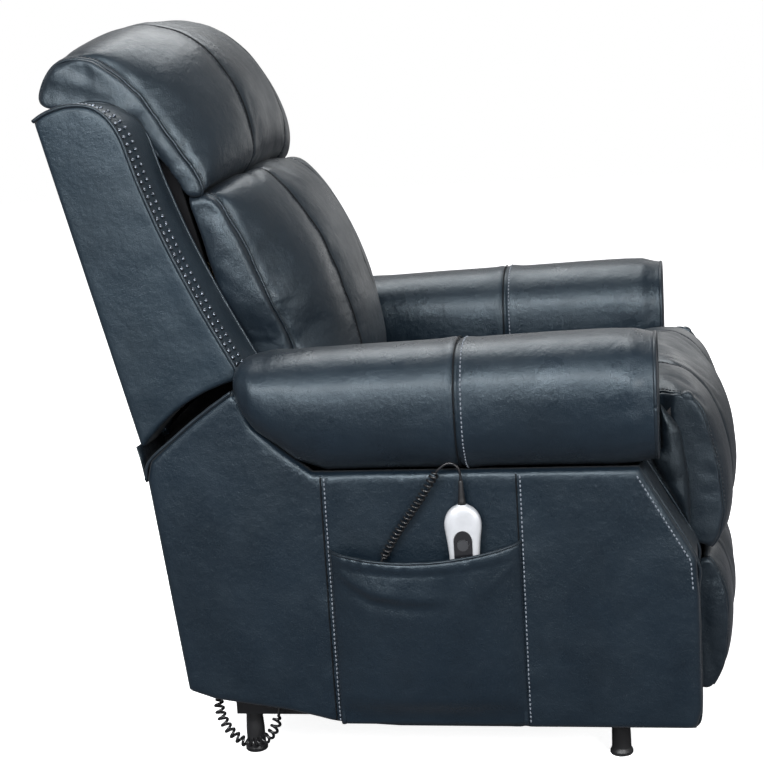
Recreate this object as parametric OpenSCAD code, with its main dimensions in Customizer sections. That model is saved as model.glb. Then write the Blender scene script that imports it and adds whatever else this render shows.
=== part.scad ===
// Lift recliner chair with rolled arms, a winged back, a chaise pad and a powered lift base.
// The chair faces -Y, +Z is up and X = 0 is its middle; "left" is the sitter's left, +X.
// The origin is on the floor under the middle of the bounding box.

/* [Overall] */
// Width over the arm rolls
overall_w = 860; // [820:5:900]
// Width of the seat between the arms
seat_w = 530; // [500:5:545]
// Width over the outside faces of the arm panels
panel_w = 790; // [760:5:805]
// Width over the back wings
wing_w = 720; // [700:5:740]
// Thickness of the padded outer arm panel
panel_t = 20; // [14:1:26]
// Thickness of the inner arm panel
inner_t = 18; // [12:1:22]
// Height of the straight skirt above the floor
skirt_z = 80; // [70:1:90]

/* [Arm] */
// Height of the arm roll above the floor
arm_h = 645; // [635:1:655]
// Height of the arm roll itself
roll_h = 184; // [170:2:190]
// Front end of the arm roll
roll_front = -385; // [-395:1:-375]
// Rear seam of the side pocket
pocket_rear = 80; // [60:1:100]
// Front seam of the side pocket
pocket_front = -192; // [-205:1:-180]
// How far the pocket stands off the panel at its mouth
pocket_depth = 31; // [28:1:32]
// How far the pocket's mouth sags between its seams
pocket_sag = 16; // [8:1:24]
// Thickness of the pocket leather
pocket_t = 3; // [2:0.5:4]

/* [Lift base] */
// Side of the square steel tube of the base
tube = 30; // [25:1:34]
// Wall of the square steel tube
tube_wall = 2.5; // [2:0.5:4]
// Height of the underside of the base tubes above the floor
rail_z = 62; // [58:1:64]
// Distance from the middle to the centre of a side rail
rail_x = 290; // [286:1:294]
// Radius of a foot's stem
foot_r = 14; // [12:0.5:16]
// Radius of a foot's flared bottom
foot_flare = 17; // [16:0.5:20]
// How far the lift arms swing, in degrees
lift_swing = 46; // [30:1:48]
// Radius of the lift crank on the torque tube
crank_r = 100; // [90:1:104]
// Radius of the link pins
pin_r = 6; // [5:0.5:7]
// Running clearance of a pin in its bore
fit = 0.08; // [0.05:0.01:0.1]
// Half height of the lift arms
arm_bar_r = 14; // [12:0.5:15]
// Half height of the front links
link_bar_r = 12; // [10:0.5:13]

/* [Back] */
// How far the back reclines, in degrees
recline_swing = 30; // [20:1:32]
// Radius of the back crank
back_crank_r = 100; // [90:1:104]
// Radius of the back's lower edge round its pivot
wing_arc_r = 254; // [253:0.5:258]
// Thickness of the outside back panel
back_panel_t = 16; // [12:1:20]

/* [Legrest] */
// How far the legrest opens, in degrees
legrest_swing = 83; // [60:1:85]
// Thickness of the legrest board
board_t = 12; // [9:0.5:13]

/* [Handset and cords] */
// Half width of the handset
handset_w = 26; // [22:0.5:28]
// Thickness of the handset
handset_t = 20; // [18:0.5:21]
// Travel of a key
key_travel = 1.2; // [0.8:0.1:1.5]
// Radius of the handset cord's wire
cord_r = 1.8; // [1.4:0.1:2]
// Radius of the helix of the handset cord
curl_r = 5; // [4.5:0.1:5.5]
// Curls of the handset cord
curls = 22; // [16:1:24]
// Radius of the motor cord's wire
motor_cord_r = 2.2; // [1.8:0.1:2.4]
// Radius of the helix of the motor cord
motor_curl_r = 6; // [5.5:0.1:6.5]
// Curls of the motor cord
motor_curls = 17; // [12:1:18]

/* [Hidden] */

// Colours
leather = [0.09, 0.11, 0.16];
leather_dark = [0.06, 0.07, 0.1];
steel = [0.16, 0.16, 0.17];
zinc = [0.6, 0.61, 0.63];
wood = [0.72, 0.58, 0.4];
black = [0.03, 0.03, 0.03];
silver = [0.72, 0.73, 0.75];
key_grey = [0.12, 0.12, 0.13];

// Half widths and planes of the pieces, counted outward from the middle
seat_x = seat_w / 2;
panel_x = panel_w / 2;
wing_x = wing_w / 2;
roll_x = overall_w / 2;
plate_t = 4;
plate_x = seat_x - plate_t;
link_t = 7;
link_x = plate_x - 3 - link_t;
arm_bar_x = link_x - 4 - link_t;
bracket_t = 6;
bracket_x = arm_bar_x - 5 - bracket_t;
crank_x = 205;
push_x = crank_x - link_t - 1;
soft_gap = 0.4;

// Pivots in the side view, as [y, z]
lift_pivot = [-240, 100];
rear_pivot = [170, 164];
front_pivot = [-295, 105.5];
chassis_front_pivot = [0, 167];
back_pivot = [151, 343];
legrest_pivot = [-424, 528];
crank_pivot = [-240, 320];
board_pin = [-414, 398];
crank_end = crank_pivot + board_pin - legrest_pivot;

// Lift actuator: its axis stands square to the middle position of the lift crank
crank_mid = 79;
crank_offset = crank_r * (1 + cos(lift_swing / 2)) / 2;
crank_reach = crank_r * sin(lift_swing / 2);
crank_tip = lift_pivot + crank_r * polar(crank_mid - lift_swing / 2);
lift_axis = crank_mid + 90;
lift_head = lift_pivot + crank_offset * polar(crank_mid) - crank_reach * polar(lift_axis);
motor_length = 400;
motor_eye = lift_head - motor_length * polar(lift_axis);

// Back actuator: the same rule round the back pivot, which turns the other way
back_mid = -94;
back_offset = back_crank_r * (1 + cos(recline_swing / 2)) / 2;
back_reach = back_crank_r * sin(recline_swing / 2);
back_tip = back_pivot + back_crank_r * polar(back_mid + recline_swing / 2);
back_axis = back_mid + 90;
back_head = back_pivot + back_offset * polar(back_mid) + back_reach * polar(back_axis);
back_motor_length = 335;
back_motor_eye = back_head - back_motor_length * polar(back_axis);

// Lever that turns the legrest shaft from the back crank, centred straight down
lever_r = 39;
lever_tip = crank_pivot + lever_r * polar(-90 + legrest_swing / 2);

slack = 0.8;
// A bar's straight edges lie this much inside its round ends, so that they cross instead of touching
edge_inset = 0.05;
torque_r = 14;
back_tube_r = 8;
rod_r = 9;
head_t = 20;

// Seat
seat_top_z = 435;
seat_rail_h = 50;
seat_rail_t = 25;
front_rail_y = -345;
rear_rail_y = 75;
spring_t = 4;

// ---------- helpers ----------

function polar(a) = [cos(a), sin(a)];
function unit(v) = v / norm(v);
function mix(a, b, t) = a * (1 - t) + b * t;
function sum(v, i = 0) = i < len(v) ? v[i] + sum(v, i + 1) : v[0] * 0;
function mean(v) = sum(v) / len(v);

// A point on a Catmull-Rom curve between b and c
function bend(a, b, c, d, t) =
  0.5 * (2 * b + (c - a) * t + (2 * a - 5 * b + 4 * c - d) * t * t + (3 * b - a - 3 * c + d) * t * t * t);

// A closed smooth outline through the points, with n steps between two of them
function smooth(p, n) = [
  for (i = [0:len(p) - 1]) for (j = [0:n - 1])
    bend(p[(i + len(p) - 1) % len(p)], p[i], p[(i + 1) % len(p)], p[(i + 2) % len(p)], j / n)
];

// An open smooth line through the points
function smooth_line(p, n) = concat(
  [for (i = [0:len(p) - 2]) for (j = [0:n - 1])
    bend(p[max(i - 1, 0)], p[i], p[i + 1], p[min(i + 2, len(p) - 1)], j / n)],
  [p[len(p) - 1]]
);

// Points of an arc from angle a to angle b
function arc(c, r, a, b, n) = [for (i = [0:n]) c + r * polar(mix(a, b, i / n))];

function in_x(x, p) = [for (q = p) [x, q[0], q[1]]];

// A closed skin through rings of equal count, each anticlockwise seen from the side it stacks to
module loft(rings) {
  n = len(rings[0]);
  m = len(rings);
  first = n * m;
  points = concat([for (r = rings) for (p = r) p], [mean(rings[0]), mean(rings[m - 1])]);
  sides = [
    for (i = [0:m - 2]) for (j = [0:n - 1])
      let (a = i * n + j, b = i * n + (j + 1) % n, c = a + n, d = b + n)
        for (f = [[a, c, d], [a, d, b]]) f
  ];
  start = [for (j = [0:n - 1]) [first, j, (j + 1) % n]];
  end = [for (j = [0:n - 1]) [first + 1, (m - 1) * n + (j + 1) % n, (m - 1) * n + j]];
  polyhedron(points, concat(sides, start, end));
}

function tangents(p) = [for (i = [0:len(p) - 1]) unit(p[min(i + 1, len(p) - 1)] - p[max(i - 1, 0)])];

// A normal carried along the tangents without twist
function normals(t) = [
  for (i = 0, n = unit(cross(t[0], abs(t[0].z) < 0.9 ? [0, 0, 1] : [1, 0, 0]));
    i < len(t);
    i = i + 1, n = i < len(t) ? unit(n - (n * t[i]) * t[i]) : n) n
];

// A round tube of radius r along the points
module sweep(p, r, sides) {
  t = tangents(p);
  n = normals(t);
  loft([
    for (i = [0:len(p) - 1]) let (u = n[i], v = cross(t[i], u))
      [for (k = [0:sides - 1]) p[i] + r * (cos(360 * k / sides) * u + sin(360 * k / sides) * v)]
  ]);
}

// A helix of radius r round a line, with plain ends and its radius eased in and out
function curly(line, r, turns, steps, ease) =
  let (t = tangents(line), n = normals(t), last = turns * steps)
    [for (i = [0:last])
      let (
        s = i / last * (len(line) - 1), k = min(floor(s), len(line) - 2), f = s - k,
        c = mix(line[k], line[k + 1], f), u = unit(mix(n[k], n[k + 1], f)),
        w = cross(unit(mix(t[k], t[k + 1], f)), u), a = 360 * i / steps,
        g = min(1, min(i, last - i) / (ease * steps))
      ) c + r * g * (cos(a) * u + sin(a) * w)];

// The least gap of a wire to its own next turns
function wire_gap(p, r, steps) = min([
  for (i = [0:len(p) - 1]) for (j = [i + steps * 3 / 4:1:min(i + 2 * steps, len(p) - 1)]) norm(p[i] - p[j])
]) - 2 * r;

// The same shape on the left, or mirrored to the right
module on(side) {
  if (side > 0) children();
  else mirror([1, 0, 0]) children();
}

// A side-view outline in y and z, made t thick from x outward
module slab(x, t) {
  translate([x, 0, 0]) rotate([90, 0, 90]) linear_extrude(t) children();
}

// A round bar across the chair
module across(p, x0, x1, r) {
  translate([x0, p[0], p[1]]) rotate([0, 90, 0]) cylinder(h = x1 - x0, r = r, $fn = 48);
}

// A flat bar with round ends, in the side view
module bar(p, q, r) {
  translate(p) circle(r, $fn = 48);
  translate(q) circle(r, $fn = 48);
  translate(p) rotate(atan2(q[1] - p[1], q[0] - p[0])) translate([0, edge_inset - r])
    square([norm(q - p), 2 * (r - edge_inset)]);
}

// Local +Z laid along a side-view direction from a side-view point
module along(p, angle) {
  translate([0, p[0], p[1]]) rotate([angle - 90, 0, 0]) children();
}

// A box from one corner to the other
module box(a, b) {
  translate(a) cube(b - a);
}

// A square tube, hollow, along X or Y
module square_tube(a, b, along_x) {
  w = tube_wall;
  through = along_x ? [-1, w, w] : [w, -1, w];
  difference() {
    box(a, b);
    box(a + through, b - through);
  }
}

// ---------- base ----------

rail_front = -340;
rail_rear = 262;
front_tube_y = -315;
rear_tube_y = rail_rear - tube;
tube_top = rail_z + tube;

module rail(side) {
  color(steel) on(side) difference() {
    square_tube([rail_x - tube / 2, rail_front, rail_z], [rail_x + tube / 2, rail_rear, tube_top], false);
    for (f = foot_places) translate([rail_x, f, rail_z - 1])
      cylinder(h = tube_wall + 2, r = stem_r + fit, $fn = 32);
  }
}

foot_places = [-317, 239];
stem_r = 5;
foot_top = rail_z;

module feet() {
  color(black) for (x = [-rail_x, rail_x]) for (y = foot_places) translate([x, y, 0]) {
    rotate_extrude($fn = 48) polygon([
      [0, 0], [foot_flare - 1, 0], [foot_flare, 1.5], [foot_flare, 5], [foot_r + 0.5, 10],
      [foot_r, 34], [foot_r - 1.5, foot_top - 2], [foot_r - 1.5, foot_top], [0, foot_top]
    ]);
    translate([0, 0, foot_top - 0.5]) cylinder(h = tube - tube_wall - 2, r = stem_r, $fn = 32);
  }
}

// The cross tube at the front with the brackets that carry the lift arms and the front links
module base_front_tube() {
  x = rail_x - tube / 2;
  color(steel) {
    square_tube([-x, front_tube_y, rail_z], [x, front_tube_y + tube, tube_top], true);
    for (side = [-1, 1]) on(side) slab(bracket_x, bracket_t) difference() {
      union() {
        translate(front_pivot) circle(15, $fn = 48);
        translate(lift_pivot) circle(torque_r + 9, $fn = 48);
        polygon([
          [front_tube_y, tube_top], front_pivot + [-15, 0], front_pivot + [0, 15],
          lift_pivot + [0, torque_r + 9], lift_pivot + [torque_r + 9, 0], lift_pivot + [0, -torque_r - 9],
          [front_tube_y + tube, rail_z + 8], [front_tube_y + tube, tube_top]
        ]);
      }
      translate(front_pivot) circle(pin_r, $fn = 48);
      translate(lift_pivot) circle(torque_r + fit, $fn = 48);
    }
  }
}

// The cross tube at the rear with the ears that hold the lift actuator
module base_rear_tube() {
  x = rail_x - tube / 2;
  ear_r = 13;
  color(steel) {
    square_tube([-x, rear_tube_y, rail_z], [x, rear_tube_y + tube, tube_top], true);
    for (side = [-1, 1]) on(side) slab(head_t / 2 + 1, 5) difference() {
      union() {
        translate(motor_eye) circle(ear_r, $fn = 48);
        polygon([
          motor_eye + ear_r * polar(110), motor_eye + ear_r * polar(200), motor_eye + ear_r * polar(270),
          [rear_tube_y, rail_z + 4], [rear_tube_y, tube_top], [rear_tube_y + tube - 4, tube_top]
        ]);
      }
      translate(motor_eye) circle(pin_r, $fn = 48);
    }
    across(motor_eye, -head_t / 2 - 9, head_t / 2 + 9, pin_r);
  }
}

module front_link_pins() {
  color(zinc) for (side = [-1, 1]) on(side) {
    across(front_pivot, bracket_x, link_x + link_t + 1.5, pin_r);
    across(front_pivot, bracket_x - 4, bracket_x, pin_r + 4);
  }
}

// A linear actuator's housing from its rear eye, with the motor beside its tube
module motor_housing(length) {
  side_x = 48;
  difference() {
    union() {
      translate([-head_t / 2, -11, -11]) cube([head_t, 22, 44]);
      translate([-26, -26, 30]) cube([side_x + 52, 52, 42]);
      translate([0, 0, 70]) cylinder(h = length - 70, r = 17, $fn = 48);
      translate([0, 0, length - 14]) cylinder(h = 14, r = 20, $fn = 48);
      translate([side_x, 0, 70]) cylinder(h = 105, r = 24, $fn = 48);
      translate([side_x, 0, 175]) cylinder(h = 6, r = 12, $fn = 48);
    }
    translate([-head_t, 0, 0]) rotate([0, 90, 0]) cylinder(h = 2 * head_t, r = pin_r + fit, $fn = 48);
    translate([0, 0, 66]) cylinder(h = length, r = rod_r + 0.4, $fn = 48);
  }
}

// The rod from inside the housing to its head, whose cross slot takes the arc of a crank pin
module motor_rod(from, length, slot_r, arc_play) {
  head_r = slot_r + slack + 7;
  difference() {
    union() {
      translate([0, 0, from]) cylinder(h = length - from - head_r + 1, r = rod_r, $fn = 48);
      translate([-head_t / 2, -head_r - arc_play, length - head_r])
        cube([head_t, 2 * (head_r + arc_play), 2 * head_r]);
    }
    translate([-head_t, -arc_play, length - slot_r - slack])
      cube([2 * head_t, 2 * arc_play, 2 * (slot_r + slack)]);
    for (y = [-arc_play, arc_play]) translate([-head_t, y, length])
      rotate([0, 90, 0]) cylinder(h = 2 * head_t, r = slot_r + slack, $fn = 48);
  }
}

module lift_motor() {
  color(black) along(motor_eye, lift_axis) motor_housing(motor_length - 45);
}

module lift_rod() {
  color(zinc) along(motor_eye, lift_axis)
    motor_rod(170, motor_length, pin_r, crank_r * (1 - cos(lift_swing / 2)) / 2 + slack);
}

// ---------- lift arms and front links ----------

module lift_arm(side) {
  color(steel) on(side) slab(arm_bar_x, link_t) difference() {
    union() {
      bar(lift_pivot, rear_pivot, arm_bar_r);
      translate(lift_pivot) circle(torque_r + 6, $fn = 48);
    }
    translate(lift_pivot) circle(torque_r, $fn = 48);
    translate(rear_pivot) circle(pin_r + fit, $fn = 48);
  }
}

// The tube that joins the lift arms, with the crank that the actuator pushes
module lift_torque_tube() {
  color(steel) {
    difference() {
      across(lift_pivot, -arm_bar_x - link_t, arm_bar_x + link_t, torque_r);
      across(lift_pivot, -arm_bar_x - link_t - 1, arm_bar_x + link_t + 1, torque_r - 3);
    }
    for (side = [-1, 1]) on(side) slab(head_t / 2 + 2, 6) difference() {
      union() {
        translate(lift_pivot) circle(torque_r + 6, $fn = 48);
        bar(lift_pivot, crank_tip, 13);
      }
      translate(lift_pivot) circle(torque_r - 1, $fn = 48);
    }
    across(crank_tip, -head_t / 2 - 8, head_t / 2 + 8, pin_r);
  }
}

module front_link(side) {
  color(steel) on(side) slab(link_x, link_t) difference() {
    bar(front_pivot, chassis_front_pivot, link_bar_r);
    translate(front_pivot) circle(pin_r + fit, $fn = 48);
    translate(chassis_front_pivot) circle(pin_r + 2.2, $fn = 48);
  }
}

// ---------- seat chassis ----------

// The steel plate on the inside of each arm, which carries every pivot of the seat
module side_plate(side) {
  color(steel) on(side) slab(plate_x, plate_t) difference() {
    union() {
      polygon([
        [front_rail_y, seat_top_z], [front_rail_y, seat_top_z - 70],
        crank_pivot + [-30, -30], crank_pivot + [50, -60],
        chassis_front_pivot + [-30, -16], rear_pivot + [22, -16],
        back_pivot + [42, -20], back_pivot + [30, 40],
        [rear_rail_y + seat_rail_t, seat_top_z]
      ]);
      for (p = [rear_pivot, chassis_front_pivot]) translate(p) circle(18, $fn = 48);
      bar([front_rail_y + 14, seat_top_z - 20], hinge_knee, 12);
      bar(hinge_knee, legrest_pivot, 9);
    }
    for (p = [rear_pivot, chassis_front_pivot, back_pivot]) translate(p) circle(pin_r, $fn = 48);
    translate(legrest_pivot) circle(hinge_pin_r, $fn = 48);
    translate(crank_pivot) circle(tube_bar_r + fit, $fn = 48);
    for (y = [-120, -20, 80]) translate([y, 270]) circle(26, $fn = 48);
  }
}

tube_bar_r = 11;
hinge_pin_r = 4;
hinge_knee = [-392, 492];
hinge_strap_t = 3.5;
hinge_strap_x = plate_x - 0.5 - hinge_strap_t;

// Pins of the side plates: the rear lift pivot, the open front pivot and the back pivot
module chassis_pins() {
  color(zinc) for (side = [-1, 1]) on(side) {
    across(rear_pivot, arm_bar_x - 1.5, plate_x + plate_t, pin_r);
    across(rear_pivot, arm_bar_x - 5, arm_bar_x - 1, pin_r + 4);
    across(chassis_front_pivot, link_x - 1, plate_x + plate_t, pin_r);
    across(back_pivot, link_x - 1.5, plate_x + plate_t, pin_r);
    across(back_pivot, link_x - 5, link_x - 1, pin_r + 4);
    across(legrest_pivot, hinge_strap_x - 0.5, plate_x + plate_t, hinge_pin_r);
  }
}

// The tube under the seat with the ears that hold the back actuator
module motor_tube() {
  c = back_motor_eye - [0, 32];
  color(steel) {
    across(c, -plate_x, plate_x, 12);
    for (side = [-1, 1]) on(side) slab(head_t / 2 + 1, 5) bar(back_motor_eye, c, 12.5);
    across(back_motor_eye, -head_t / 2 - 9, head_t / 2 + 9, pin_r);
  }
}

module seat_rail(y) {
  color(wood) box([-plate_x, y, seat_top_z - seat_rail_h], [plate_x, y + seat_rail_t, seat_top_z]);
}

// Zigzag springs of flat wire, from the front rail to the rear rail
module seat_springs() {
  waves = 9;
  swing = 13;
  start = front_rail_y + 8;
  run = rear_rail_y + seat_rail_t - 8 - start;
  line = [for (i = [0:waves * 4]) [swing * sin(90 * i), start + run * i / (waves * 4)]];
  dir = [for (i = [0:len(line) - 1]) unit(line[min(i + 1, len(line) - 1)] - line[max(i - 1, 0)])];
  edge = [for (i = [0:len(line) - 1]) [dir[i][1], -dir[i][0]] * 2];
  outline = concat(
    [for (i = [0:len(line) - 1]) line[i] + edge[i]],
    [for (i = [len(line) - 1:-1:0]) line[i] - edge[i]]
  );
  color(zinc) for (x = [-180:90:180]) translate([x, 0, seat_top_z]) linear_extrude(spring_t) polygon(outline);
}

// ---------- seat cushions ----------

// A cushion across the chair: its middle profile turns into its side profile as the crown falls
// off, its boxing closes inward past the seam, and two sewn channels run over it
function crown(t) = 1 - pow(1 - pow(t, 2.4), 0.7);

module cushion(middle, side, half, box_w, place, depth, n) {
  w = 0.035;
  mid = place > 0 ? [-place - w, -place, -place + w, 0, place - w, place, place + w] : [-0.5, 0.5];
  c = smooth(middle, n);
  s = smooth(side, n);
  hub = mean(s);
  shoulder = [for (p = s) mix(p, hub, 0.08)];
  end = [for (p = s) mix(p, hub, 0.97)];
  loft(concat(
    [in_x(-half - box_w, end), in_x(-half - box_w * 0.7, shoulder)],
    [for (x = concat([-1, -0.93, -0.78], mid, [0.78, 0.93, 1]))
      in_x(x * half, [for (i = [0:len(c) - 1])
        let (p = mix(c[i], s[i], crown(abs(x))), sewn = abs(abs(x) - place) < 0.001)
          p + unit(hub - p) * (sewn ? depth : 0)])],
    [in_x(half + box_w * 0.7, shoulder), in_x(half + box_w, end)]
  ));
}

seat_half = seat_x - 18;
cushion_z = seat_top_z + spring_t + 4 * soft_gap;

module seat_cushion() {
  color(leather) cushion(
    [[100, 502], [40, 516], [-100, 526], [-230, 536], [-298, 545], [-315, 534], [-315, 452],
      [-298, cushion_z], [-100, cushion_z], [80, cushion_z], [112, 460]],
    [[100, 488], [40, 496], [-100, 503], [-230, 512], [-298, 519], [-315, 511], [-315, 452],
      [-298, cushion_z], [-100, cushion_z], [80, cushion_z], [112, 460]],
    seat_half, 9, 0, 0, 2);
}

// The front roll under the chaise pad, whose ends hang lower beside the legrest linkage
module seat_bolster() {
  low = [[-323, 504], [-362, 500], [-394, 482], [-409, 446], [-411, 400], [-398, 377], [-366, 376],
    [-348, 400], [-347, 440], [-323, 444]];
  high = [[-323, 504], [-362, 500], [-390, 490], [-400, 482], [-398, 474], [-390, 468], [-375, 466],
    [-360, 466], [-347, 458], [-323, 444]];
  split = crank_x + 12;
  end = plate_x - soft_gap;
  color(leather_dark) loft([
    for (s = [[-end, 0, 0.3], [-end + 3, 0, 0.06], [-end + 11, 0, 0], [-split, 0, 0], [-split + 5, 1, 0],
      [split - 5, 1, 0], [split, 0, 0], [end - 11, 0, 0], [end - 3, 0, 0.06], [end, 0, 0.3]])
      let (r = smooth(mix(low, high, s[1]), 2), hub = mean(r)) in_x(s[0], [for (p = r) mix(p, hub, s[2])])
  ]);
}

// The chaise pad is one padded sleeve from the seat over the front edge; a tuck at the hinge parts it
pad_half = seat_x - 10;

// Fixed part over the seat's front edge
module seat_front_roll() {
  color(leather) cushion(
    [[-321, 546], [-360, 555], [-398, 551], [-418, 541], [-413, 529], [-403, 517], [-388, 511],
      [-360, 510], [-321, 512]],
    [[-321, 526], [-360, 531], [-394, 529], [-411, 525], [-408, 519], [-400, 514], [-388, 511],
      [-360, 510], [-321, 512]],
    pad_half - 6, 7, 0.5, 4, 2);
}

// Swinging part in front of the calves
module leg_pad() {
  color(leather) cushion(
    [[-445, 527], [-462, 507], [-479, 468], [-491, 420], [-492, 362], [-481, 320], [-458, 304], [-443, 315],
      [-440, 380], [-440, 450], [-440, 484], [-434, 512]],
    [[-440, 520], [-449, 502], [-463, 462], [-472, 414], [-474, 362], [-466, 320], [-454, 306], [-444, 315],
      [-440, 380], [-440, 450], [-440, 484], [-435, 510]],
    pad_half - 6, 7, 0.5, 4, 2);
}

module foot_pad() {
  color(leather) cushion(
    [[-451, 298], [-472, 276], [-486, 230], [-489, 180], [-480, 130], [-458, 92], [-442, 92], [-440, 150],
      [-440, 220], [-441, 285]],
    [[-451, 294], [-466, 272], [-476, 230], [-478, 180], [-471, 132], [-455, 94], [-441, 94], [-439.7, 150],
      [-439.7, 220], [-441, 283]],
    pad_half - 6, 7, 0.5, 4, 2);
}

// ---------- arms ----------

// Side view of an arm, from the skirt's front corner round over the roll's seat to the rear
arm_front_edge = [[-427, skirt_z], [-436, skirt_z + 28], [-436, 272], [-433, 330], [-361, 456]];
arm_rear_edge = [[343, 456], [308, 133]];
arm_slant = [[208, 581], [259, 546], [296, 517], [336, 483]];
skirt_rise = [[268, 119], [157, 103], [83, 85], [-5, skirt_z]];
roll_base = arm_h - roll_h;
arm_top = [[-361, roll_base], [100, roll_base], [150, 500], [182, 530], [198, 569]];
arm_outline = concat(arm_front_edge, arm_top, arm_slant, arm_rear_edge, skirt_rise);

module arm_outer(side) {
  color(leather) on(side) slab(panel_x - panel_t, panel_t) polygon(arm_outline);
}

inner_bottom = 112;
// The inner panel's padded front, which rises in front of the roll and covers the hinge arms
arm_lip = [[-424, inner_bottom], [-424, 272], [-425, 347], [-424, 422], [roll_front - 29, 489],
  [roll_front - 6, 519], [roll_front - 1, 526], [roll_front - 1, roll_base]];

module arm_inner(side) {
  color(leather_dark) on(side) slab(seat_x, inner_t) polygon(concat(
    arm_lip, [for (i = [1:len(arm_top) - 1]) arm_top[i]],
    arm_slant, [[343, 456], [308, 140], [255, inner_bottom + 12], [83, inner_bottom]]));
}

// A strip of thickness t along an open side-view line, on its inner side
function strip(line, t) = concat(line, [for (i = [len(line) - 1:-1:0])
  let (d = unit(line[min(i + 1, len(line) - 1)] - line[max(i - 1, 0)])) line[i] + t * [d[1], -d[0]]]);

strip_x = seat_x + inner_t;
strip_w = panel_x - panel_t - strip_x;

module arm_front(side) {
  color(leather) on(side) slab(strip_x, strip_w) polygon(strip(arm_front_edge, 16));
}

module arm_rear(side) {
  color(leather) on(side) slab(strip_x, strip_w)
    polygon(strip(concat([[208, 581]], [for (i = [1:3]) arm_slant[i]], arm_rear_edge), 16));
}

// The padded roll: one section across per station along it,
// as [y, centre x, centre z, half width, half height]
roll_mid_x = roll_x - 86;
function roll_ring(s) = [for (k = [0:19])
  let (a = 360 * k / 20, q = pow(pow(abs(cos(a)), 2.4) + pow(abs(sin(a)), 2.4), -1 / 2.4))
    [s[1] + s[3] * q * cos(a), s[0], s[2] + s[4] * q * sin(a)]];

module arm_roll(side) {
  half_h = roll_h / 2;
  cz = arm_h - half_h;
  w = roll_x - roll_mid_x;
  stations = [
    [roll_front, 0, 0, 0.8, 0.8], [roll_front + 4, 0, 0, 0.93, 0.93], [roll_front + 18, 0, 0, 1, 1],
    [-240, 0, 0, 1, 1], [-122, 0, -1, 0.985, 0.98], [-116, 0, -1, 0.96, 0.955], [-110, 0, -1, 0.985, 0.98],
    [0, 0, -4, 0.97, 0.955], [80, 0, -6, 0.95, 0.93], [130, 0, 4, 0.94, 0.8], [160, 0, 14, 0.9, 0.66],
    [178, 0, 20, 0.84, 0.54], [186, 0, 22, 0.72, 0.42]
  ];
  color(leather) on(side) loft([for (i = [len(stations) - 1:-1:0]) let (s = stations[i])
    [for (p = roll_ring([s[0], roll_mid_x + s[1], cz + s[2], w * s[3], half_h * s[4]])) p]]);
}

// The lower outside back between the arms
module rear_panel() {
  t = 16;
  color(leather) slab(-seat_x + soft_gap, 2 * (seat_x - soft_gap)) polygon([
    [343, 456], [308, 140], [308 - t, 140], [343 - t, 456]]);
}

// ---------- pocket ----------

pocket_low = skirt_z + 6;
pocket_span = pocket_rear - pocket_front;
// Top edge of the pocket: sagging between its two seams
function pocket_top(u) = mix(360, 349, u) - pocket_sag * pow(sin(180 * u), 0.8);
// How far the leather stands off the panel, u across and v up
function pocket_off(u, v) = 1 + pocket_depth * pow(max(sin(180 * u), 0), 0.55)
  * (0.12 + 0.88 * pow(v, 0.45)) * min(1, v * 6);

module pocket() {
  nu = 14;
  nv = 8;
  // One closed ring per station across: up the outside, then down the inside
  rings = [for (i = [0:nu]) let (u = i / nu, y = mix(pocket_front, pocket_rear, u))
    concat(
      [for (j = [0:nv]) let (v = j / nv)
        [-panel_x - pocket_off(u, v) - pocket_t, y, mix(pocket_low, pocket_top(u), v)]],
      [for (j = [nv:-1:0]) let (v = j / nv)
        [-panel_x - (j == 0 ? 0.1 : pocket_off(u, v)), y,
          mix(pocket_low, pocket_top(u), v) + (j == 0 ? 4 : 0)]]
    )];
  color(leather) {
    loft(rings);
    for (y = [pocket_front - 3, pocket_rear - 1])
      box([-panel_x - pocket_t - 1, y, pocket_low], [-panel_x, y + 4, 345]);
  }
}

// ---------- handset ----------

handset_y = -114;
handset_x = -panel_x - 2 - handset_t / 2;
handset_top = roll_base - 44;

// A level oval ring with flattened faces, at a drop below the handset's top
function oval(drop, hx, hy) = [for (k = [0:23])
  let (a = 360 * k / 24, q = pow(pow(abs(cos(a)), 3) + pow(abs(sin(a)), 3), -1 / 3))
    [handset_x + hx * q * cos(a), handset_y + hy * q * sin(a), handset_top - drop]];

// The shell's rings: drop below the top, share of its half thickness, share of its half width
handset_rings = [[145, 0.6, 0.5], [142, 0.85, 0.66], [133, 1, 0.74], [82, 1, 0.8], [52, 1, 0.9], [32, 1, 1],
  [21, 0.97, 0.97], [12, 0.88, 0.83], [5, 0.72, 0.6], [1, 0.5, 0.34], [0, 0.45, 0.28]];

module handset_shell() {
  color(silver) loft([for (r = handset_rings) oval(r[0], handset_t / 2 * r[1], handset_w * r[2])]);
}

keypad_x = handset_x - handset_t / 2;
keypad_t = 1.5;
keypad_w = 26;
key_places = [[handset_y, handset_top - 56], [handset_y, handset_top - 81]];
key_r = 8;

// The arched keypad with its two openings for the keys
module handset_keypad() {
  color(black) slab(keypad_x - keypad_t, keypad_t) difference() {
    union() {
      translate([handset_y - keypad_w / 2, handset_top - 125]) square([keypad_w, 74]);
      translate([handset_y, handset_top - 51]) scale([1, 1.2]) circle(keypad_w / 2, $fn = 48);
    }
    for (k = key_places) translate(k) circle(key_r + 0.3, $fn = 48);
  }
}

// A key, which stands proud of the keypad by a little more than its travel
module key(i) {
  proud = 1.6;
  color(key_grey) translate([keypad_x - keypad_t - proud, key_places[i][0], key_places[i][1]])
    rotate([0, 90, 0]) cylinder(h = proud + keypad_t - key_travel - 0.05, r = key_r, $fn = 48);
}

boot_h = 35;
boot_top = handset_top + boot_h;

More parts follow.
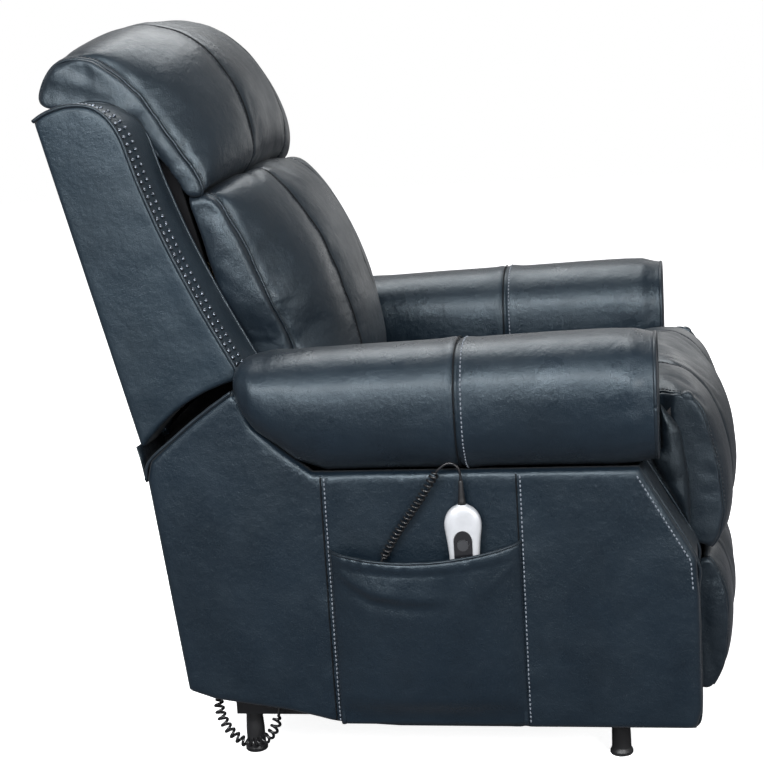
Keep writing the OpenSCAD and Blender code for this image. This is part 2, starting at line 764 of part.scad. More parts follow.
module handset_boot() {
  color(black) translate([handset_x, handset_y, handset_top]) rotate_extrude($fn = 32)
    polygon([[0, 0], [5.5, 0], [5.5, 6], [4.4, 9], [3.4, boot_h - 2], [cord_r + 0.9, boot_h], [0, boot_h]]);
}

// Route of the handset cord: out of the boot, a loop under the roll, then curly into the pocket
function from_boot(p) = [for (q = p) [handset_x + q[0], q[1], boot_top + q[2]]];
gland_in = [-panel_x - 6, 14, handset_top - 99];
cord_loop = from_boot([[0, handset_y, 0], [0, handset_y, 4], [0, -113, 12], [0, -109, 20], [0, -101, 24],
  [0, -92, 22], [0, -84, 16]]);
cord_fall = smooth_line(from_boot([[0, -80, 12], [0, -60, -20], [1, -38, -51], [2, -16, -82],
  [4, 3, -114]]), 6);
cord_end = concat(from_boot([[6, 9, -124]]), [gland_in + [-4, -1, 2], gland_in + [-3, 0, 0], gland_in]);
handset_wire = concat(smooth_line(cord_loop, 2), curly(cord_fall, curl_r, curls, 8, 1), cord_end);

module handset_cord() {
  echo(handset_cord_gap = wire_gap(curly(cord_fall, curl_r, curls, 8, 1), cord_r, 8));
  color(black) sweep(handset_wire, cord_r, 6);
}

// Route of the motor cord: a curly loop that hangs below the rear of the skirt
gland_h = 8;
motor_gland_rear = [-strip_x - gland_h, 280, 132];
motor_gland_front = [-strip_x - gland_h, 190, 126];
motor_fall = smooth_line([[-325, 284, 96], [-330, 280, 72], [-331, 268, 46], [-331, 246, 28],
  [-331, 222, 28], [-330, 202, 44], [-325, 192, 68]], 5);
motor_wire = concat(
  [motor_gland_rear, motor_gland_rear + [-5, 0, 0], [-305, 281, 129], [-316, 283, 118], [-321, 284, 106]],
  curly(motor_fall, motor_curl_r, motor_curls, 8, 1),
  [[-322, 191, 82], [-316, 190, 100], [-306, 190, 117], motor_gland_front + [-5, 0, 0], motor_gland_front]
);

module motor_cord() {
  echo(motor_cord_gap = wire_gap(curly(motor_fall, motor_curl_r, motor_curls, 8, 1), motor_cord_r, 8));
  color(black) sweep(motor_wire, motor_cord_r, 6);
}

module cord_glands() {
  color(black) {
    for (p = [motor_gland_rear, motor_gland_front])
      translate(p) rotate([0, 90, 0]) cylinder(h = gland_h, r = 5.5, $fn = 32);
    translate(gland_in) rotate([0, 90, 0]) cylinder(h = 6, r = 5.5, $fn = 32);
  }
}

// ---------- back ----------

module back_motor() {
  color(black) along(back_motor_eye, back_axis) motor_housing(back_motor_length - 95);
}

module back_rod() {
  color(zinc) along(back_motor_eye, back_axis)
    motor_rod(125, back_motor_length, back_tube_r, back_crank_r * (1 - cos(recline_swing / 2)) / 2 + slack);
}

back_lean = atan2(474 - 358, 971 - 507);
frame_foot = back_pivot + 232 * polar(68.5);
frame_h = 340;
post_r = 16;
frame_top = frame_foot + frame_h * polar(90 - back_lean);

// Two uprights, each with the hinge plate and the crank of its side
module back_posts() {
  color(steel) for (side = [-1, 1]) on(side) slab(link_x, link_t) difference() {
    union() {
      bar(back_pivot, frame_foot, post_r);
      bar(back_pivot, back_tip, 14);
      bar(frame_foot, frame_top, post_r);
    }
    translate(back_pivot) circle(pin_r + fit, $fn = 48);
    translate(back_tip) circle(back_tube_r, $fn = 48);
  }
}

// Rails behind the posts, from wing to wing
module back_rails() {
  half = wing_inner - soft_gap;
  up = 90 - back_lean;
  color(wood) for (d = [30, frame_h / 2, frame_h - 15]) along(frame_foot + d * polar(up), up)
    translate([-half, post_r, -12]) cube([2 * half, 20, 24]);
}

module back_crank_tube() {
  color(zinc) across(back_tip, -link_x - link_t, link_x + link_t, back_tube_r);
}

// Side view of a wing: rear edge, top, front edge down to the seat, then the arc round the pivot
wing_top = [[474, 971], [461, 979], [446, 985], [424, 990], [402, 990], [385, 986], [371, 977], [358, 962]];
wing_front = [[347, 940], [337, 907], [325, 869], [295, 789], [252, 695], [205, 604]];
wing_low_a = 76.5;
wing_low_b = 35.5;
band_forward = 15;
wing_inner = seat_x + 12;
function wing_line(forward) = concat(
  [for (p = wing_top) p],
  [for (p = wing_front) p + [-forward, 0]],
  [for (p = arc(back_pivot, wing_arc_r, wing_low_a, wing_low_b, 6)) p]
);

module wing(side) {
  color(leather) on(side) loft([
    in_x(wing_inner, wing_line(band_forward)),
    in_x(wing_x - 8, wing_line(2)),
    in_x(wing_x, wing_line(0))
  ]);
}

module back_outer_panel() {
  x = wing_inner - soft_gap;
  foot = back_pivot + wing_arc_r * polar(wing_low_b);
  n = back_panel_t * polar(180 - back_lean);
  color(leather) slab(-x, 2 * x) polygon([foot, [474, 971], [474, 971] + n, foot + n]);
}

module back_cushion() {
  color(leather) cushion(
    [[282, 824], [262, 832], [232, 846], [200, 866], [158, 836], [112, 764], [82, 680], [63, 596], [66, 530],
      [100, 504], [183, 510], [205, 530], [224, 600], [264, 770]],
    [[284, 820], [274, 827], [258, 831], [238, 826], [214, 792], [188, 728], [162, 662], [142, 600],
      [124, 540], [128, 512], [183, 510], [205, 530], [224, 600], [264, 770]],
    seat_x - 13, 8, 0.42, 7, 2);
}

module head_pillow() {
  color(leather) cushion(
    [[488, 992], [490, 1036], [448, 1086], [368, 1104], [290, 1078], [240, 1016], [216, 950], [214, 893],
      [244, 860], [280, 851], [302, 900], [345, 960], [436, 979]],
    [[492, 992], [490, 1022], [460, 1052], [408, 1052], [352, 1010], [298, 930], [264, 878], [258, 852],
      [266, 846], [282, 852], [304, 900], [347, 960], [436, 979]],
    wing_inner - soft_gap - 9, 9, 0.4, 7, 2);
}

// ---------- legrest ----------

// The shaft across the side plates with a crank and a lever at each side
module legrest_tube() {
  color(steel) {
    across(crank_pivot, -plate_x - plate_t, plate_x + plate_t, tube_bar_r);
    for (side = [-1, 1]) on(side) {
      slab(crank_x, link_t) bar(crank_pivot, crank_end, 13);
      across(crank_end, push_x - 3, crank_x + 1, pin_r);
      slab(lever_x, link_t) bar(crank_pivot, lever_tip, 12);
      across(lever_tip, lever_x, arm_bar_x + link_t + 2, pin_r);
    }
  }
}

lever_x = arm_bar_x - 2 - link_t;
// The lever tip falls and rises again as it swings, and the link's own tilt takes up a third of that:
// the slot's centre and half length
lever_sag = lever_r * (1 - cos(legrest_swing / 2)) / 3;
lever_play = lever_sag + slack;
// Side play of the pin in that slot, for the arc that the constant ratio leaves out
lever_side = 1.4;

// Links from the back crank tube to the levers, so that back and legrest open together
module recline_links() {
  eye = lever_tip - [0, lever_sag];
  play = [0, lever_play];
  color(steel) for (side = [-1, 1]) on(side) slab(arm_bar_x, link_t) difference() {
    union() {
      bar(back_tip, eye, 9);
      translate(back_tip) circle(back_tube_r + 7, $fn = 48);
      bar(eye - play, eye + play, pin_r + lever_side + 6);
    }
    translate(back_tip) circle(back_tube_r + fit, $fn = 48);
    bar(eye - play, eye + play, pin_r + lever_side);
  }
}

module push_links() {
  color(steel) for (side = [-1, 1]) on(side) slab(push_x, link_t) difference() {
    bar(crank_end, board_pin, 11);
    translate(crank_end) circle(pin_r + fit, $fn = 48);
    translate(board_pin) circle(pin_r + 0.6, $fn = 48);
  }
}

// The board behind the pads with its hinge straps and the lugs for the push links
board_rear = -427;

module leg_board() {
  front = board_rear - board_t;
  lug_x = push_x - 8;
  strap = board_rear + 4;
  color(wood) box([-pad_half + 8, front, 110], [pad_half - 8, board_rear, 480]);
  color(steel) for (side = [-1, 1]) on(side) {
    slab(lug_x, 6) polygon([
      [board_rear, board_pin[1] - 26], [board_rear, board_pin[1] + 26],
      board_pin + [5, 14], board_pin + [11, 0], board_pin + [5, -14]
    ]);
    across(board_pin, lug_x + 2, push_x + link_t + 2, pin_r);
    box([pad_half - 50, board_rear, 430], [hinge_strap_x + hinge_strap_t, strap, 480]);
    slab(hinge_strap_x, hinge_strap_t) difference() {
      union() {
        polygon([[strap, 430], [strap, 480], legrest_pivot + [8, 0], legrest_pivot + [-8, 0],
          [board_rear, 480], [board_rear, 430]]);
        translate(legrest_pivot) circle(8, $fn = 48);
      }
      translate(legrest_pivot) circle(hinge_pin_r + fit, $fn = 48);
    }
  }
}

// ---------- assembly ----------

rail(1);  // rail_left
rail(-1);  // rail_right
base_front_tube();
base_rear_tube();
feet();
front_link_pins();
lift_motor();
lift_rod();
lift_arm(1);  // lift_arm_left
lift_arm(-1);  // lift_arm_right
lift_torque_tube();
front_link(1);  // front_link_left
front_link(-1);  // front_link_right
side_plate(1);  // side_plate_left
side_plate(-1);  // side_plate_right
chassis_pins();
motor_tube();
seat_rail(front_rail_y);  // seat_front_rail
seat_rail(rear_rail_y);  // seat_rear_rail
seat_springs();
seat_cushion();
seat_bolster();
seat_front_roll();
arm_outer(1);  // arm_outer_left
arm_outer(-1);  // arm_outer_right
arm_inner(1);  // arm_inner_left
arm_inner(-1);  // arm_inner_right
arm_front(1);  // arm_front_left
arm_front(-1);  // arm_front_right
arm_rear(1);  // arm_rear_left
arm_rear(-1);  // arm_rear_right
arm_roll(1);  // arm_roll_left
arm_roll(-1);  // arm_roll_right
rear_panel();
pocket();
handset_shell();
handset_keypad();
key(0);  // key_up
key(1);  // key_down
handset_boot();
handset_cord();
motor_cord();
cord_glands();
back_motor();
back_rod();
back_posts();
back_rails();
back_crank_tube();
wing(1);  // wing_left
wing(-1);  // wing_right
back_outer_panel();
back_cushion();
head_pillow();
legrest_tube();
recline_links();
push_links();
leg_board();
leg_pad();
foot_pad();
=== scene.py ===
import math

import bmesh
import bpy
import numpy as np
from mathutils import Matrix, Vector
from mathutils.bvhtree import BVHTree
from mathutils.geometry import delaunay_2d_cdt


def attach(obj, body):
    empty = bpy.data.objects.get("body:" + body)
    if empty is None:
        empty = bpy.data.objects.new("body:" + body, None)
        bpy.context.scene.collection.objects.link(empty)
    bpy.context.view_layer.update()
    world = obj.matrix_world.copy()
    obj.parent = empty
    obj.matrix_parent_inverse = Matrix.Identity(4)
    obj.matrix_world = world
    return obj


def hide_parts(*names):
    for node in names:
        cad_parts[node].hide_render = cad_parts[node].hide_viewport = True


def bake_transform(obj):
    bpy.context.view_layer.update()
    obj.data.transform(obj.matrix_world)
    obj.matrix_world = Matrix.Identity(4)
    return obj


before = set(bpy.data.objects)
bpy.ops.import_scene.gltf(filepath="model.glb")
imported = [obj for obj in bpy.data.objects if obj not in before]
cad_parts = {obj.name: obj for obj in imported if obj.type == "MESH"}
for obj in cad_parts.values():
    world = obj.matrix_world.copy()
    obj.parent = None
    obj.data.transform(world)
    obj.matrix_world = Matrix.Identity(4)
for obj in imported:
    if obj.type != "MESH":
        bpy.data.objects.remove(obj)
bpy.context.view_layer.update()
SIDES = (("left", 1), ("right", -1))
pieces = []


# ---------- points ----------

def mm(points):
    return np.array(points, float) / 1000


def unit(v):
    v = np.asarray(v, float)
    return v / np.maximum(np.linalg.norm(v, axis=-1, keepdims=True), 1e-12)


def smooth(points, n, closed=True):
    """A Catmull-Rom line through the points, with n steps between two of them."""
    p = np.asarray(points, float)
    k = len(p)
    out = []
    for i in range(k if closed else k - 1):
        a, b, c, d = [p[(i + j) % k] if closed else p[min(max(i + j, 0), k - 1)] for j in (-1, 0, 1, 2)]
        for t in np.arange(n) / n:
            out.append(0.5 * (2 * b + (c - a) * t + (2 * a - 5 * b + 4 * c - d) * t**2 + (3 * b - a - 3 * c + d) * t**3))
    if not closed:
        out.append(p[-1])
    return np.array(out)


def length_of(points):
    return float(np.linalg.norm(np.diff(points, axis=0), axis=1).sum())


def even(points, count, closed=False):
    """The same line with its points evenly spaced."""
    p = np.vstack([points, points[:1]]) if closed else np.asarray(points, float)
    s = np.concatenate([[0], np.cumsum(np.linalg.norm(np.diff(p, axis=0), axis=1))])
    t = np.linspace(0, s[-1], count, endpoint=not closed)
    return np.stack([np.interp(t, s, p[:, i]) for i in range(p.shape[1])], 1)


def in_x(x, profile):
    return np.column_stack([np.full(len(profile), x), profile])


def waves(p, size, seed, n=8):
    """Smooth seeded noise between about -1 and 1, with features of about the given size."""
    rng = np.random.default_rng(seed + 1000)
    p = np.asarray(p, float)
    total = np.zeros(len(p))
    for _ in range(n):
        k = unit(rng.normal(size=p.shape[1])) * 2 * math.pi / (size * rng.uniform(1.4, 3))
        total += np.sin(p @ k + rng.uniform(0, 2 * math.pi))
    return total / math.sqrt(n)


def to_line(p, line):
    """Distance from each 2-D point to an open line."""
    a, b = line[:-1], line[1:]
    d = b - a
    t = np.clip(((p[:, None] - a) * d).sum(2) / np.maximum((d * d).sum(1), 1e-12), 0, 1)
    return np.sqrt((((a + t[..., None] * d) - p[:, None]) ** 2).sum(2)).min(1)


# ---------- meshes ----------

def add(name, verts, faces, material, body, replaces=(), slot=None, fill=None, cord=None):
    me = bpy.data.meshes.new(name)
    me.from_pydata([tuple(v) for v in verts], [], [tuple(int(i) for i in f) for f in faces])
    bm = bmesh.new()
    bm.from_mesh(me)
    bmesh.ops.recalc_face_normals(bm, faces=bm.faces)
    bm.to_mesh(me)
    bm.free()
    me.materials.append(material)
    me.shade_smooth()
    obj = bpy.data.objects.new(name, me)
    bpy.context.scene.collection.objects.link(obj)
    pieces.append(dict(obj=obj, body=body, replaces=replaces, slot=slot, fill=fill, cord=cord))
    return obj


def merge(parts):
    verts, faces, n = [], [], 0
    for v, f in parts:
        verts.append(np.asarray(v))
        faces += [[i + n for i in g] for g in f]
        n += len(v)
    return np.vstack(verts), faces


def loft(rings, ring_closed=True, caps=True):
    """Quads through rings of equal count, with a fan on each end."""
    rings = np.asarray(rings, float)
    m, n, _ = rings.shape
    verts = rings.reshape(-1, 3)
    faces = [(i * n + j, i * n + (j + 1) % n, (i + 1) * n + (j + 1) % n, (i + 1) * n + j)
             for i in range(m - 1) for j in range(n if ring_closed else n - 1)]
    if caps:
        verts = np.vstack([verts, rings[0].mean(0), rings[-1].mean(0)])
        faces += [(m * n, (j + 1) % n, j) for j in range(n)]
        faces += [(m * n + 1, (m - 1) * n + j, (m - 1) * n + (j + 1) % n) for j in range(n)]
    return verts, faces


def frames_of(p):
    """Tangents, and normals carried along them without twist."""
    t = unit(np.vstack([p[1] - p[0], p[2:] - p[:-2], p[-1] - p[-2]]))
    n = [unit(np.cross(t[0], [0, 0, 1] if abs(t[0][2]) < 0.9 else [1, 0, 0]))]
    for i in range(1, len(p)):
        n.append(unit(n[-1] - (n[-1] @ t[i]) * t[i]))
    return t, np.array(n)


def tube(points, r, sides=10):
    t, n = frames_of(points)
    b = np.cross(t, n)
    a = np.arange(sides) * 2 * math.pi / sides
    radius = np.broadcast_to(r, len(points))
    return loft([p + q * (np.cos(a)[:, None] * u + np.sin(a)[:, None] * v) for p, q, u, v in zip(points, radius, n, b)])


def panel(outline, pitch, height, place, depth=None, levels=1):
    """A closed sheet over a flat outline. height(p, d) lifts a point of the face that is d inside the
    edge; place(p, h, level) turns flat points, height and level (0 at the back, 1 at the face) into 3-D."""
    line = np.vstack([outline, outline[:1]])
    edge = even(outline, max(24, int(length_of(line) / pitch)), closed=True)
    line = np.vstack([edge, edge[:1]])
    nb = len(edge)
    t = unit(np.roll(edge, -1, 0) - np.roll(edge, 1, 0))
    area = 0.5 * np.sum(edge[:, 0] * np.roll(edge[:, 1], -1) - np.roll(edge[:, 0], -1) * edge[:, 1])
    inward = np.column_stack([-t[:, 1], t[:, 0]]) * (1 if area > 0 else -1)
    inner = []
    for off in (0.0015, 0.004, 0.008):
        q = edge + inward * off
        inner.append(q[to_line(q, line) > off * 0.85])
    lo, hi = edge.min(0), edge.max(0)
    ys, zs = np.arange(lo[0], hi[0], pitch), np.arange(lo[1], hi[1], pitch * 0.87)
    grid = np.array([(y + (pitch / 2 if k % 2 else 0), z) for k, z in enumerate(zs) for y in ys])
    inside = np.zeros(len(grid), bool)
    for a, b in zip(line[:-1], line[1:]):
        cross = ((a[1] > grid[:, 1]) != (b[1] > grid[:, 1]))
        x = a[0] + (grid[:, 1] - a[1]) * (b[0] - a[0]) / (b[1] - a[1] if abs(b[1] - a[1]) > 1e-12 else 1e-12)
        inside ^= cross & (grid[:, 0] < x)
    grid = grid[inside]
    grid = grid[to_line(grid, line) > 0.008 + pitch * 0.45]
    flat = np.vstack([edge] + inner + [grid])
    out = delaunay_2d_cdt([Vector(p) for p in flat], [], [list(range(nb))], 1, 1e-7)
    pts = np.array([tuple(v) for v in out[0]])
    tris = [tuple(f) for f in out[2]]
    d = to_line(pts, line)
    d[d < 1e-6] = 0
    h = height(pts, d)
    count = {}
    for f in tris:
        for a, b in zip(f, f[1:] + f[:1]):
            count[(min(a, b), max(a, b))] = count.get((min(a, b), max(a, b)), 0) + 1
    rim = [k for k, c in count.items() if c == 1]
    n = len(pts)
    layers = [place(pts, h, 1.0)]
    faces = list(tris)
    rim_points = sorted({i for e in rim for i in e})
    index = {i: k for k, i in enumerate(rim_points)}
    below = {i: i for i in rim_points}
    total = n
    for level in range(1, levels + 1):
        s = 1 - level / levels
        if level == levels:
            layers.append(place(pts, np.zeros(n), 0.0))
            here = {i: total + i for i in rim_points}
            faces += [tuple(total + i for i in reversed(f)) for f in tris]
            total += n
        else:
            layers.append(place(pts[rim_points], h[rim_points], s))
            here = {i: total + index[i] for i in rim_points}
            total += len(rim_points)
        faces += [(below[a], below[b], here[b], here[a]) for a, b in rim]
        below = here
    return np.vstack(layers), faces


def surface(obj):
    dg = bpy.context.evaluated_depsgraph_get()
    dg.update()
    ev = obj.evaluated_get(dg)
    me = ev.to_mesh()
    tree = BVHTree.FromPolygons([v.co.copy() for v in me.vertices], [tuple(p.vertices) for p in me.polygons])
    ev.to_mesh_clear()
    return tree


def on_surface(tree, points, lift=0.0):
    """Each point's nearest place on a surface, and the surface's normal there."""
    at, normal = [], []
    for p in points:
        q, n, _, _ = tree.find_nearest(Vector(p))
        at.append(q + n * lift)
        normal.append(n)
    return np.array([tuple(q) for q in at]), np.array([tuple(n) for n in normal])


def settle(points, rounds=2):
    p = np.array(points)
    for _ in range(rounds):
        p[1:-1] = (p[:-2] + 2 * p[1:-1] + p[2:]) / 4
    return p


def stitches(name, body, lines, material, pitch=0.0064, size=0.0042, r=0.0011, slot=None):
    """Thread over pairs of points and normals: one small rounded stitch each."""
    a = np.arange(6) * math.pi / 3
    parts = []
    for points, normals in lines:
        count = max(3, int(length_of(points) / pitch))
        p, n = even(points, count), unit(even(normals, count))
        t, _ = frames_of(p)
        n = unit(n - (n * t).sum(1, keepdims=True) * t)
        b = np.cross(t, n)
        for i in range(count):
            parts.append(loft([p[i] + t[i] * size / 2 * s + n[i] * (0.25 * r)
                               + r * w * (np.cos(a)[:, None] * b[i] + 0.8 * np.sin(a)[:, None] * n[i])
                               for s, w in ((-1, 0.35), (-0.6, 1), (0.6, 1), (1, 0.35))]))
    v, f = merge(parts)
    return add(name, v, f, material, body, slot=slot)


def beside(points, normals, off):
    """The same line moved sideways over the surface."""
    t, _ = frames_of(points)
    return points + unit(np.cross(normals, t)) * off, normals


# ---------- materials ----------

def material(name, colour, rough, spec=0.5, metallic=0.0, coat=0.0, coat_rough=0.3, sheen=0.0):
    mat = bpy.data.materials.new(name)
    mat.use_nodes = True
    nt = mat.node_tree
    bsdf = nt.nodes["Principled BSDF"]
    bsdf.inputs["Base Color"].default_value = (*colour, 1)
    bsdf.inputs["Roughness"].default_value = rough
    bsdf.inputs["Metallic"].default_value = metallic
    bsdf.inputs["Specular IOR Level"].default_value = spec
    bsdf.inputs["Coat Weight"].default_value = coat
    bsdf.inputs["Coat Roughness"].default_value = coat_rough
    bsdf.inputs["Sheen Weight"].default_value = sheen
    return mat, nt, bsdf


def node(nt, kind, **values):
    n = nt.nodes.new(kind)
    for key, value in values.items():
        if key in n.inputs:
            n.inputs[key].default_value = value
        else:
            setattr(n, key, value)
    return n


def noise_node(nt, where, scale, detail=3, rough=0.5, stretch=None):
    n = node(nt, "ShaderNodeTexNoise", Scale=scale, Detail=detail, Roughness=rough)
    if stretch:
        m = node(nt, "ShaderNodeMapping", Scale=stretch)
        nt.links.new(where, m.inputs["Vector"])
        where = m.outputs["Vector"]
    nt.links.new(where, n.inputs["Vector"])
    return n.outputs["Fac"]


def ramp(nt, fac, stops):
    r = nt.nodes.new("ShaderNodeValToRGB")
    r.color_ramp.elements[0].position, r.color_ramp.elements[0].color = stops[0][0], (*stops[0][1], 1)
    r.color_ramp.elements[1].position, r.color_ramp.elements[1].color = stops[-1][0], (*stops[-1][1], 1)
    for pos, colour in stops[1:-1]:
        r.color_ramp.elements.new(pos).color = (*colour, 1)
    nt.links.new(fac, r.inputs["Fac"])
    return r.outputs["Color"]


def spread(nt, fac, low, high):
    m = node(nt, "ShaderNodeMapRange")
    m.inputs["From Min"].default_value, m.inputs["From Max"].default_value = 0.25, 0.75
    m.inputs["To Min"].default_value, m.inputs["To Max"].default_value = low, high
    nt.links.new(fac, m.inputs["Value"])
    return m.outputs["Result"]


def mix_colour(nt, fac, a, b):
    m = nt.nodes.new("ShaderNodeMix")
    m.data_type = "RGBA"
    for socket, value in ((m.inputs[0], fac), (m.inputs[6], a), (m.inputs[7], b)):
        if hasattr(value, "is_linked"):
            nt.links.new(value, socket)
        else:
            socket.default_value = value if isinstance(value, float) else (*value, 1)
    return m.outputs[2]


def bump(nt, layers, bsdf):
    last = None
    for fac, strength, distance in layers:
        b = node(nt, "ShaderNodeBump", Strength=strength, Distance=distance)
        nt.links.new(fac, b.inputs["Height"])
        if last:
            nt.links.new(last, b.inputs["Normal"])
        last = b.outputs["Normal"]
    nt.links.new(last, bsdf.inputs["Normal"])


def leather(name, colour, worn, rough=0.37, spec=0.42, crease=0.55, grain=620):
    """Finished leather: pebble grain, fine creases, slow changes of colour and gloss, paler where worn."""
    mat, nt, bsdf = material(name, colour, rough, spec, coat=0.12, coat_rough=0.3, sheen=0.02)
    where = nt.nodes.new("ShaderNodeTexCoord").outputs["Object"]
    slow = noise_node(nt, where, 6, 4, 0.6)
    cloud = noise_node(nt, where, 42, 6, 0.68)
    tone = ramp(nt, slow, [(0.3, tuple(0.8 * c for c in colour)), (0.7, tuple(1.25 * c for c in colour))])
    tone = mix_colour(nt, spread(nt, cloud, 0.0, 0.32), tone, worn)
    edge = ramp(nt, nt.nodes.new("ShaderNodeNewGeometry").outputs["Pointiness"],
                [(0.5, (0, 0, 0)), (0.58, (0.5, 0.5, 0.5))])
    nt.links.new(mix_colour(nt, edge, tone, worn), bsdf.inputs["Base Color"])
    patch = noise_node(nt, where, 13, 5, 0.62)
    nt.links.new(spread(nt, patch, rough - 0.16, rough + 0.14), bsdf.inputs["Roughness"])
    bsdf.inputs["Specular Tint"].default_value = (0.74, 0.90, 1.0, 1)
    cell = node(nt, "ShaderNodeTexVoronoi", Scale=grain, Randomness=0.95)
    nt.links.new(where, cell.inputs["Vector"])
    wrinkle = noise_node(nt, where, 70, 7, 0.72)
    broad = noise_node(nt, where, 17, 3, 0.6)
    bump(nt, [(broad, 0.35, 0.006), (wrinkle, crease, 0.0022), (cell.outputs["Distance"], 0.3, 0.0005)], bsdf)
    return mat


def moulded(name, colour, rough, spec=0.5, metallic=0.0, grain=1400, strength=0.12, coat=0.0):
    mat, nt, bsdf = material(name, colour, rough, spec, metallic, coat)
    where = nt.nodes.new("ShaderNodeTexCoord").outputs["Object"]
    slow = noise_node(nt, where, 18, 4, 0.6)
    nt.links.new(ramp(nt, slow, [(0.3, tuple(0.85 * c for c in colour)), (0.7, tuple(min(1, 1.12 * c) for c in colour))]),
                 bsdf.inputs["Base Color"])
    nt.links.new(spread(nt, slow, rough - 0.06, rough + 0.08), bsdf.inputs["Roughness"])
    bump(nt, [(noise_node(nt, where, grain, 2), strength, 0.0002)], bsdf)
    return mat


leather_mat = leather("navy_leather", (0.0030, 0.0074, 0.0130), (0.010, 0.017, 0.025), rough=0.34)
# painted light: a lighter copy of the navy leather for the wings, standing for the light their faces catch
lit_wing_mat = leather("navy_leather_painted_lit_wing", (0.0056, 0.0116, 0.0180), (0.015, 0.023, 0.032), rough=0.40)
pad_mat = leather("navy_leather_pads", (0.0050, 0.0090, 0.0137), (0.016, 0.021, 0.028), rough=0.38)
# painted shade: a darker copy of the navy leather, for the parts that sit in shadow (inner arms, arm lips, board wraps,
# seat bolster, back flap)
shaded_leather_mat = leather("navy_leather_painted_shade", (0.0026, 0.0048, 0.0078), (0.007, 0.011, 0.015), rough=0.36, crease=0.8)
pipe_mat = leather("piping_leather", (0.0022, 0.0042, 0.0070), (0.010, 0.015, 0.021), rough=0.4, crease=0.3)
# painted shade: a near-black cord laid at the bottom of each seam's groove, standing for the shade in the groove
seam_shade_mat = moulded("seam_groove_painted_shade", (0.0020, 0.0028, 0.0040), 0.7, spec=0.2, grain=2200, strength=0.4)
cloth_mat = moulded("black_lining_cloth", (0.005, 0.005, 0.006), 0.85, spec=0.2, grain=1500, strength=0.6)
thread_mat = moulded("topstitch_thread", (0.17, 0.19, 0.22), 0.6, grain=2600, strength=0.5)
dark_thread_mat = moulded("dark_thread", (0.022, 0.027, 0.034), 0.6, grain=2600, strength=0.5)
nail_mat = moulded("nailhead_nickel", (0.15, 0.17, 0.20), 0.3, metallic=1.0, grain=900, strength=0.15)
black_mat = moulded("black_plastic", (0.012, 0.012, 0.013), 0.42)
gloss_mat = moulded("black_keypad", (0.008, 0.008, 0.010), 0.2, coat=0.4, strength=0.03)
key_mat = moulded("key_rubber", (0.035, 0.036, 0.040), 0.45, grain=2200)
print_mat = moulded("key_mark", (0.32, 0.33, 0.35), 0.5)
cord_mat = moulded("cord_rubber", (0.010, 0.010, 0.011), 0.22, grain=2400)
silver_mat = moulded("silver_plastic", (0.60, 0.61, 0.63), 0.36, metallic=0.25, grain=3000, strength=0.05, coat=0.3)
steel_mat = moulded("black_powder_coat", (0.016, 0.016, 0.018), 0.5, grain=1800, strength=0.35)
zinc_mat = moulded("zinc_plate", (0.50, 0.50, 0.49), 0.36, metallic=1.0, grain=700, strength=0.2)


def timber_material():
    mat, nt, bsdf = material("frame_timber", (0.42, 0.30, 0.19), 0.62, 0.3)
    where = nt.nodes.new("ShaderNodeTexCoord").outputs["Object"]
    rings = noise_node(nt, where, 22, 6, 0.7, stretch=(0.25, 6, 6))
    nt.links.new(ramp(nt, rings, [(0.32, (0.30, 0.20, 0.115)), (0.5, (0.46, 0.335, 0.21)), (0.68, (0.54, 0.41, 0.27))]),
                 bsdf.inputs["Base Color"])
    bump(nt, [(rings, 0.3, 0.0006)], bsdf)
    return mat


timber_mat = timber_material()


# ---------- camera ----------

def make_camera():
    yaw, pitch, roll = (math.radians(a) for a in (10.31, -11.59, -3.56))
    f = np.array([math.cos(pitch) * math.cos(yaw), math.cos(pitch) * math.sin(yaw), math.sin(pitch)])
    r = unit(np.cross(f, [0, 0, 1]))
    u = np.cross(r, f)
    c, s = math.cos(roll), math.sin(roll)
    right, up = c * r + s * u, -s * r + c * u
    cam = bpy.data.cameras.new("camera")
    cam.lens, cam.sensor_width, cam.clip_start = 81.43, 36, 0.05
    obj = bpy.data.objects.new("camera", cam)
    m = Matrix.Identity(4)
    for i in range(3):
        m[i][0], m[i][1], m[i][2] = right[i], up[i], -f[i]
    m.translation = (-2.716, -0.432, 1.072)
    obj.matrix_world = m
    bpy.context.scene.collection.objects.link(obj)
    bpy.context.scene.camera = obj


make_camera()


# ---------- cords ----------

def curly(line, r, turns, steps, ease=1):
    """A helix round a line, its radius eased in and out over one turn."""
    t, n = frames_of(line)
    last = turns * steps
    out = []
    for i in range(last + 1):
        s = i / last * (len(line) - 1)
        k = min(int(s), len(line) - 2)
        f = s - k
        c = line[k] * (1 - f) + line[k + 1] * f
        u = unit(n[k] * (1 - f) + n[k + 1] * f)
        w = np.cross(unit(t[k] * (1 - f) + t[k + 1] * f), u)
        a = 2 * math.pi * i / steps
        g = min(1, min(i, last - i) / (ease * steps))
        out.append(c + r * g * (math.cos(a) * u + math.sin(a) * w))
    return np.array(out)


